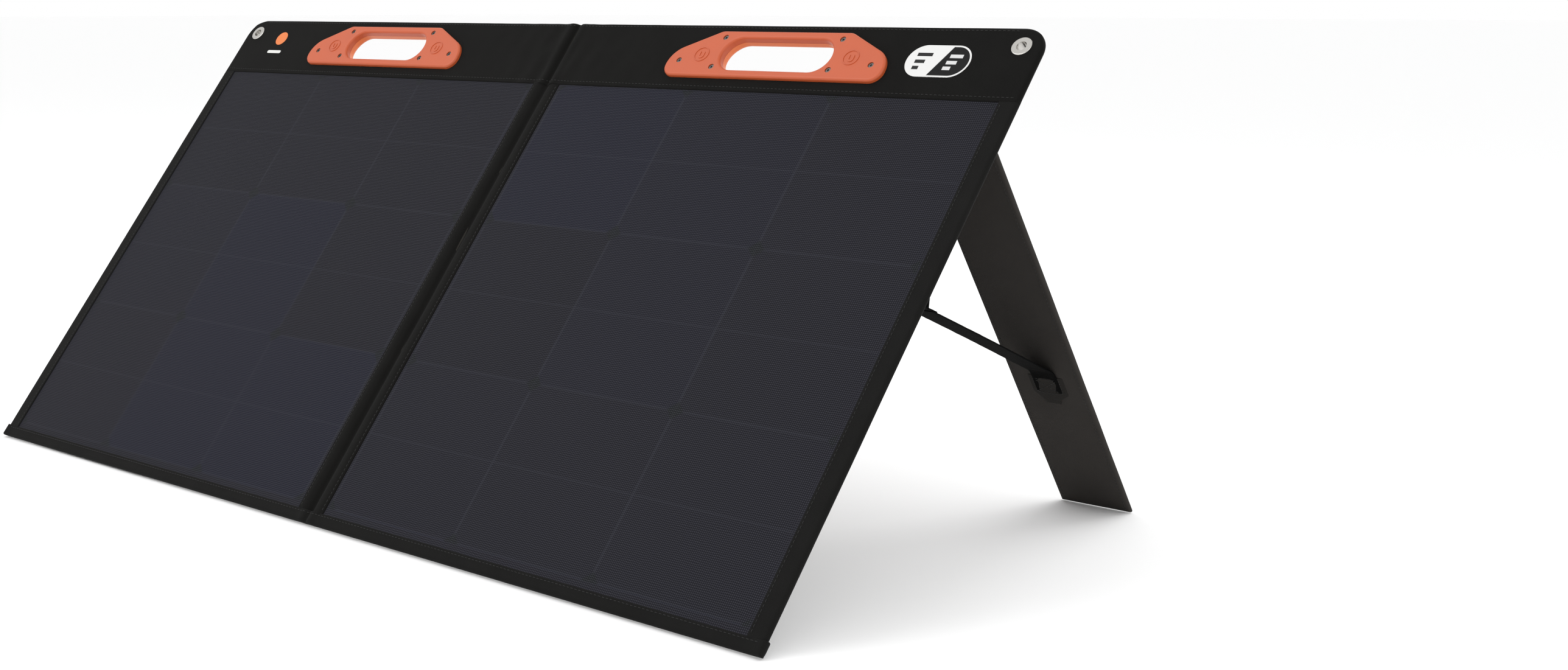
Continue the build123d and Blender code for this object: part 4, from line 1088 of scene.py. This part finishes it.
WHITE_INK = print_ink("white_ink", (0.72, 0.72, 0.7))
ORANGE_INK = print_ink("orange_ink", (0.75, 0.2, 0.05))
ON_BAND = ("panel_left", band_front, 0.02, 0.14)
ON_COVER = ("pocket_flap", cover_height, -0.14, -0.02)
for name, ink, middle, size, where in (
        ("band_print_disc", ORANGE_INK, (-453.0, 551.0), (18.0, 18.0), ON_BAND),
        ("band_print_bar", WHITE_INK, (-453.0, 532.0), (24.0, 4.0), ON_BAND),
        ("cover_print_disc", ORANGE_INK, (-343.0, 352.0), (14.0, 14.0), ON_COVER),
        ("cover_print_bar", WHITE_INK, (-343.0, 338.0), (22.0, 3.4), ON_COVER),
        ("cover_print_line", WHITE_INK, (PLATE_MID[0] + 1.5, PLATE_LO[1] - 5.0), (46.0, 5.0), ON_COVER)):
    printed_capsule(name, ink, middle, size, *where)


# ---------------------------------------------------------------- stage
LIT_POINT = Vector((0, 0, 0.2))


def placed(name, data, place=(0, 0, 0), looking=None):
    """An object at a place, with its -Z axis along the way it looks."""
    made = bpy.data.objects.new(name, data)
    made.location = place
    if looking is not None:
        made.rotation_mode = "QUATERNION"
        made.rotation_quaternion = looking.to_track_quat("-Z", "Y")
    bpy.context.scene.collection.objects.link(made)
    return made


def area_light(name, place, size, power):
    light = bpy.data.lights.new(name, "AREA")
    light.shape, light.size, light.size_y = "RECTANGLE", size[0], size[1]
    light.energy = power
    placed(name, light, place, LIT_POINT - Vector(place))


floor_mesh = bpy.data.meshes.new("floor")
floor_mesh.from_pydata([(x, y, 0) for x, y in ((-60, -60), (60, -60), (60, 60), (-60, 60))], [], [(0, 1, 2, 3)])
floor = placed("floor", floor_mesh)
pale = Shade("pale_floor", roughness=0.75, specular_ior_level=0.2)
pale.set("Base Color", colour(0.98))
floor_mesh.materials.append(pale.material)

world = bpy.data.worlds.new("studio")
world.use_nodes = True
world.node_tree.nodes["Background"].inputs[0].default_value = (1, 1, 1, 1)
world.node_tree.nodes["Background"].inputs[1].default_value = 1.0
bpy.context.scene.world = world
bpy.context.scene.view_settings.view_transform = "Standard"
area_light("key", (-1.6, -2.4, 3.0), (2.6, 2.0), 45)
area_light("fill", (3.0, -1.4, 1.6), (2.0, 2.0), 14)
area_light("rim", (0.6, 2.8, 2.4), (2.6, 1.6), 34)

IMAGE_WIDTH, IMAGE_HEIGHT = 2576.0, 1101.0
SENSOR = 36.0
FOCAL_PIXELS = 3253.0
CENTRE_PIXELS = (718.0, 625.0)
TURN, PITCH = math.radians(46.8), math.radians(10.78)
camera_data = bpy.data.cameras.new("camera")
camera_data.sensor_width = SENSOR
camera_data.lens = FOCAL_PIXELS / IMAGE_WIDTH * SENSOR
camera_data.shift_x = (IMAGE_WIDTH / 2 - CENTRE_PIXELS[0]) / IMAGE_WIDTH
camera_data.shift_y = (CENTRE_PIXELS[1] - IMAGE_HEIGHT / 2) / IMAGE_WIDTH
looking = Vector((-math.sin(TURN) * math.cos(PITCH), math.cos(TURN) * math.cos(PITCH), -math.sin(PITCH)))
bpy.context.scene.camera = placed("camera", camera_data, (1.369, -1.418, 0.472), looking)
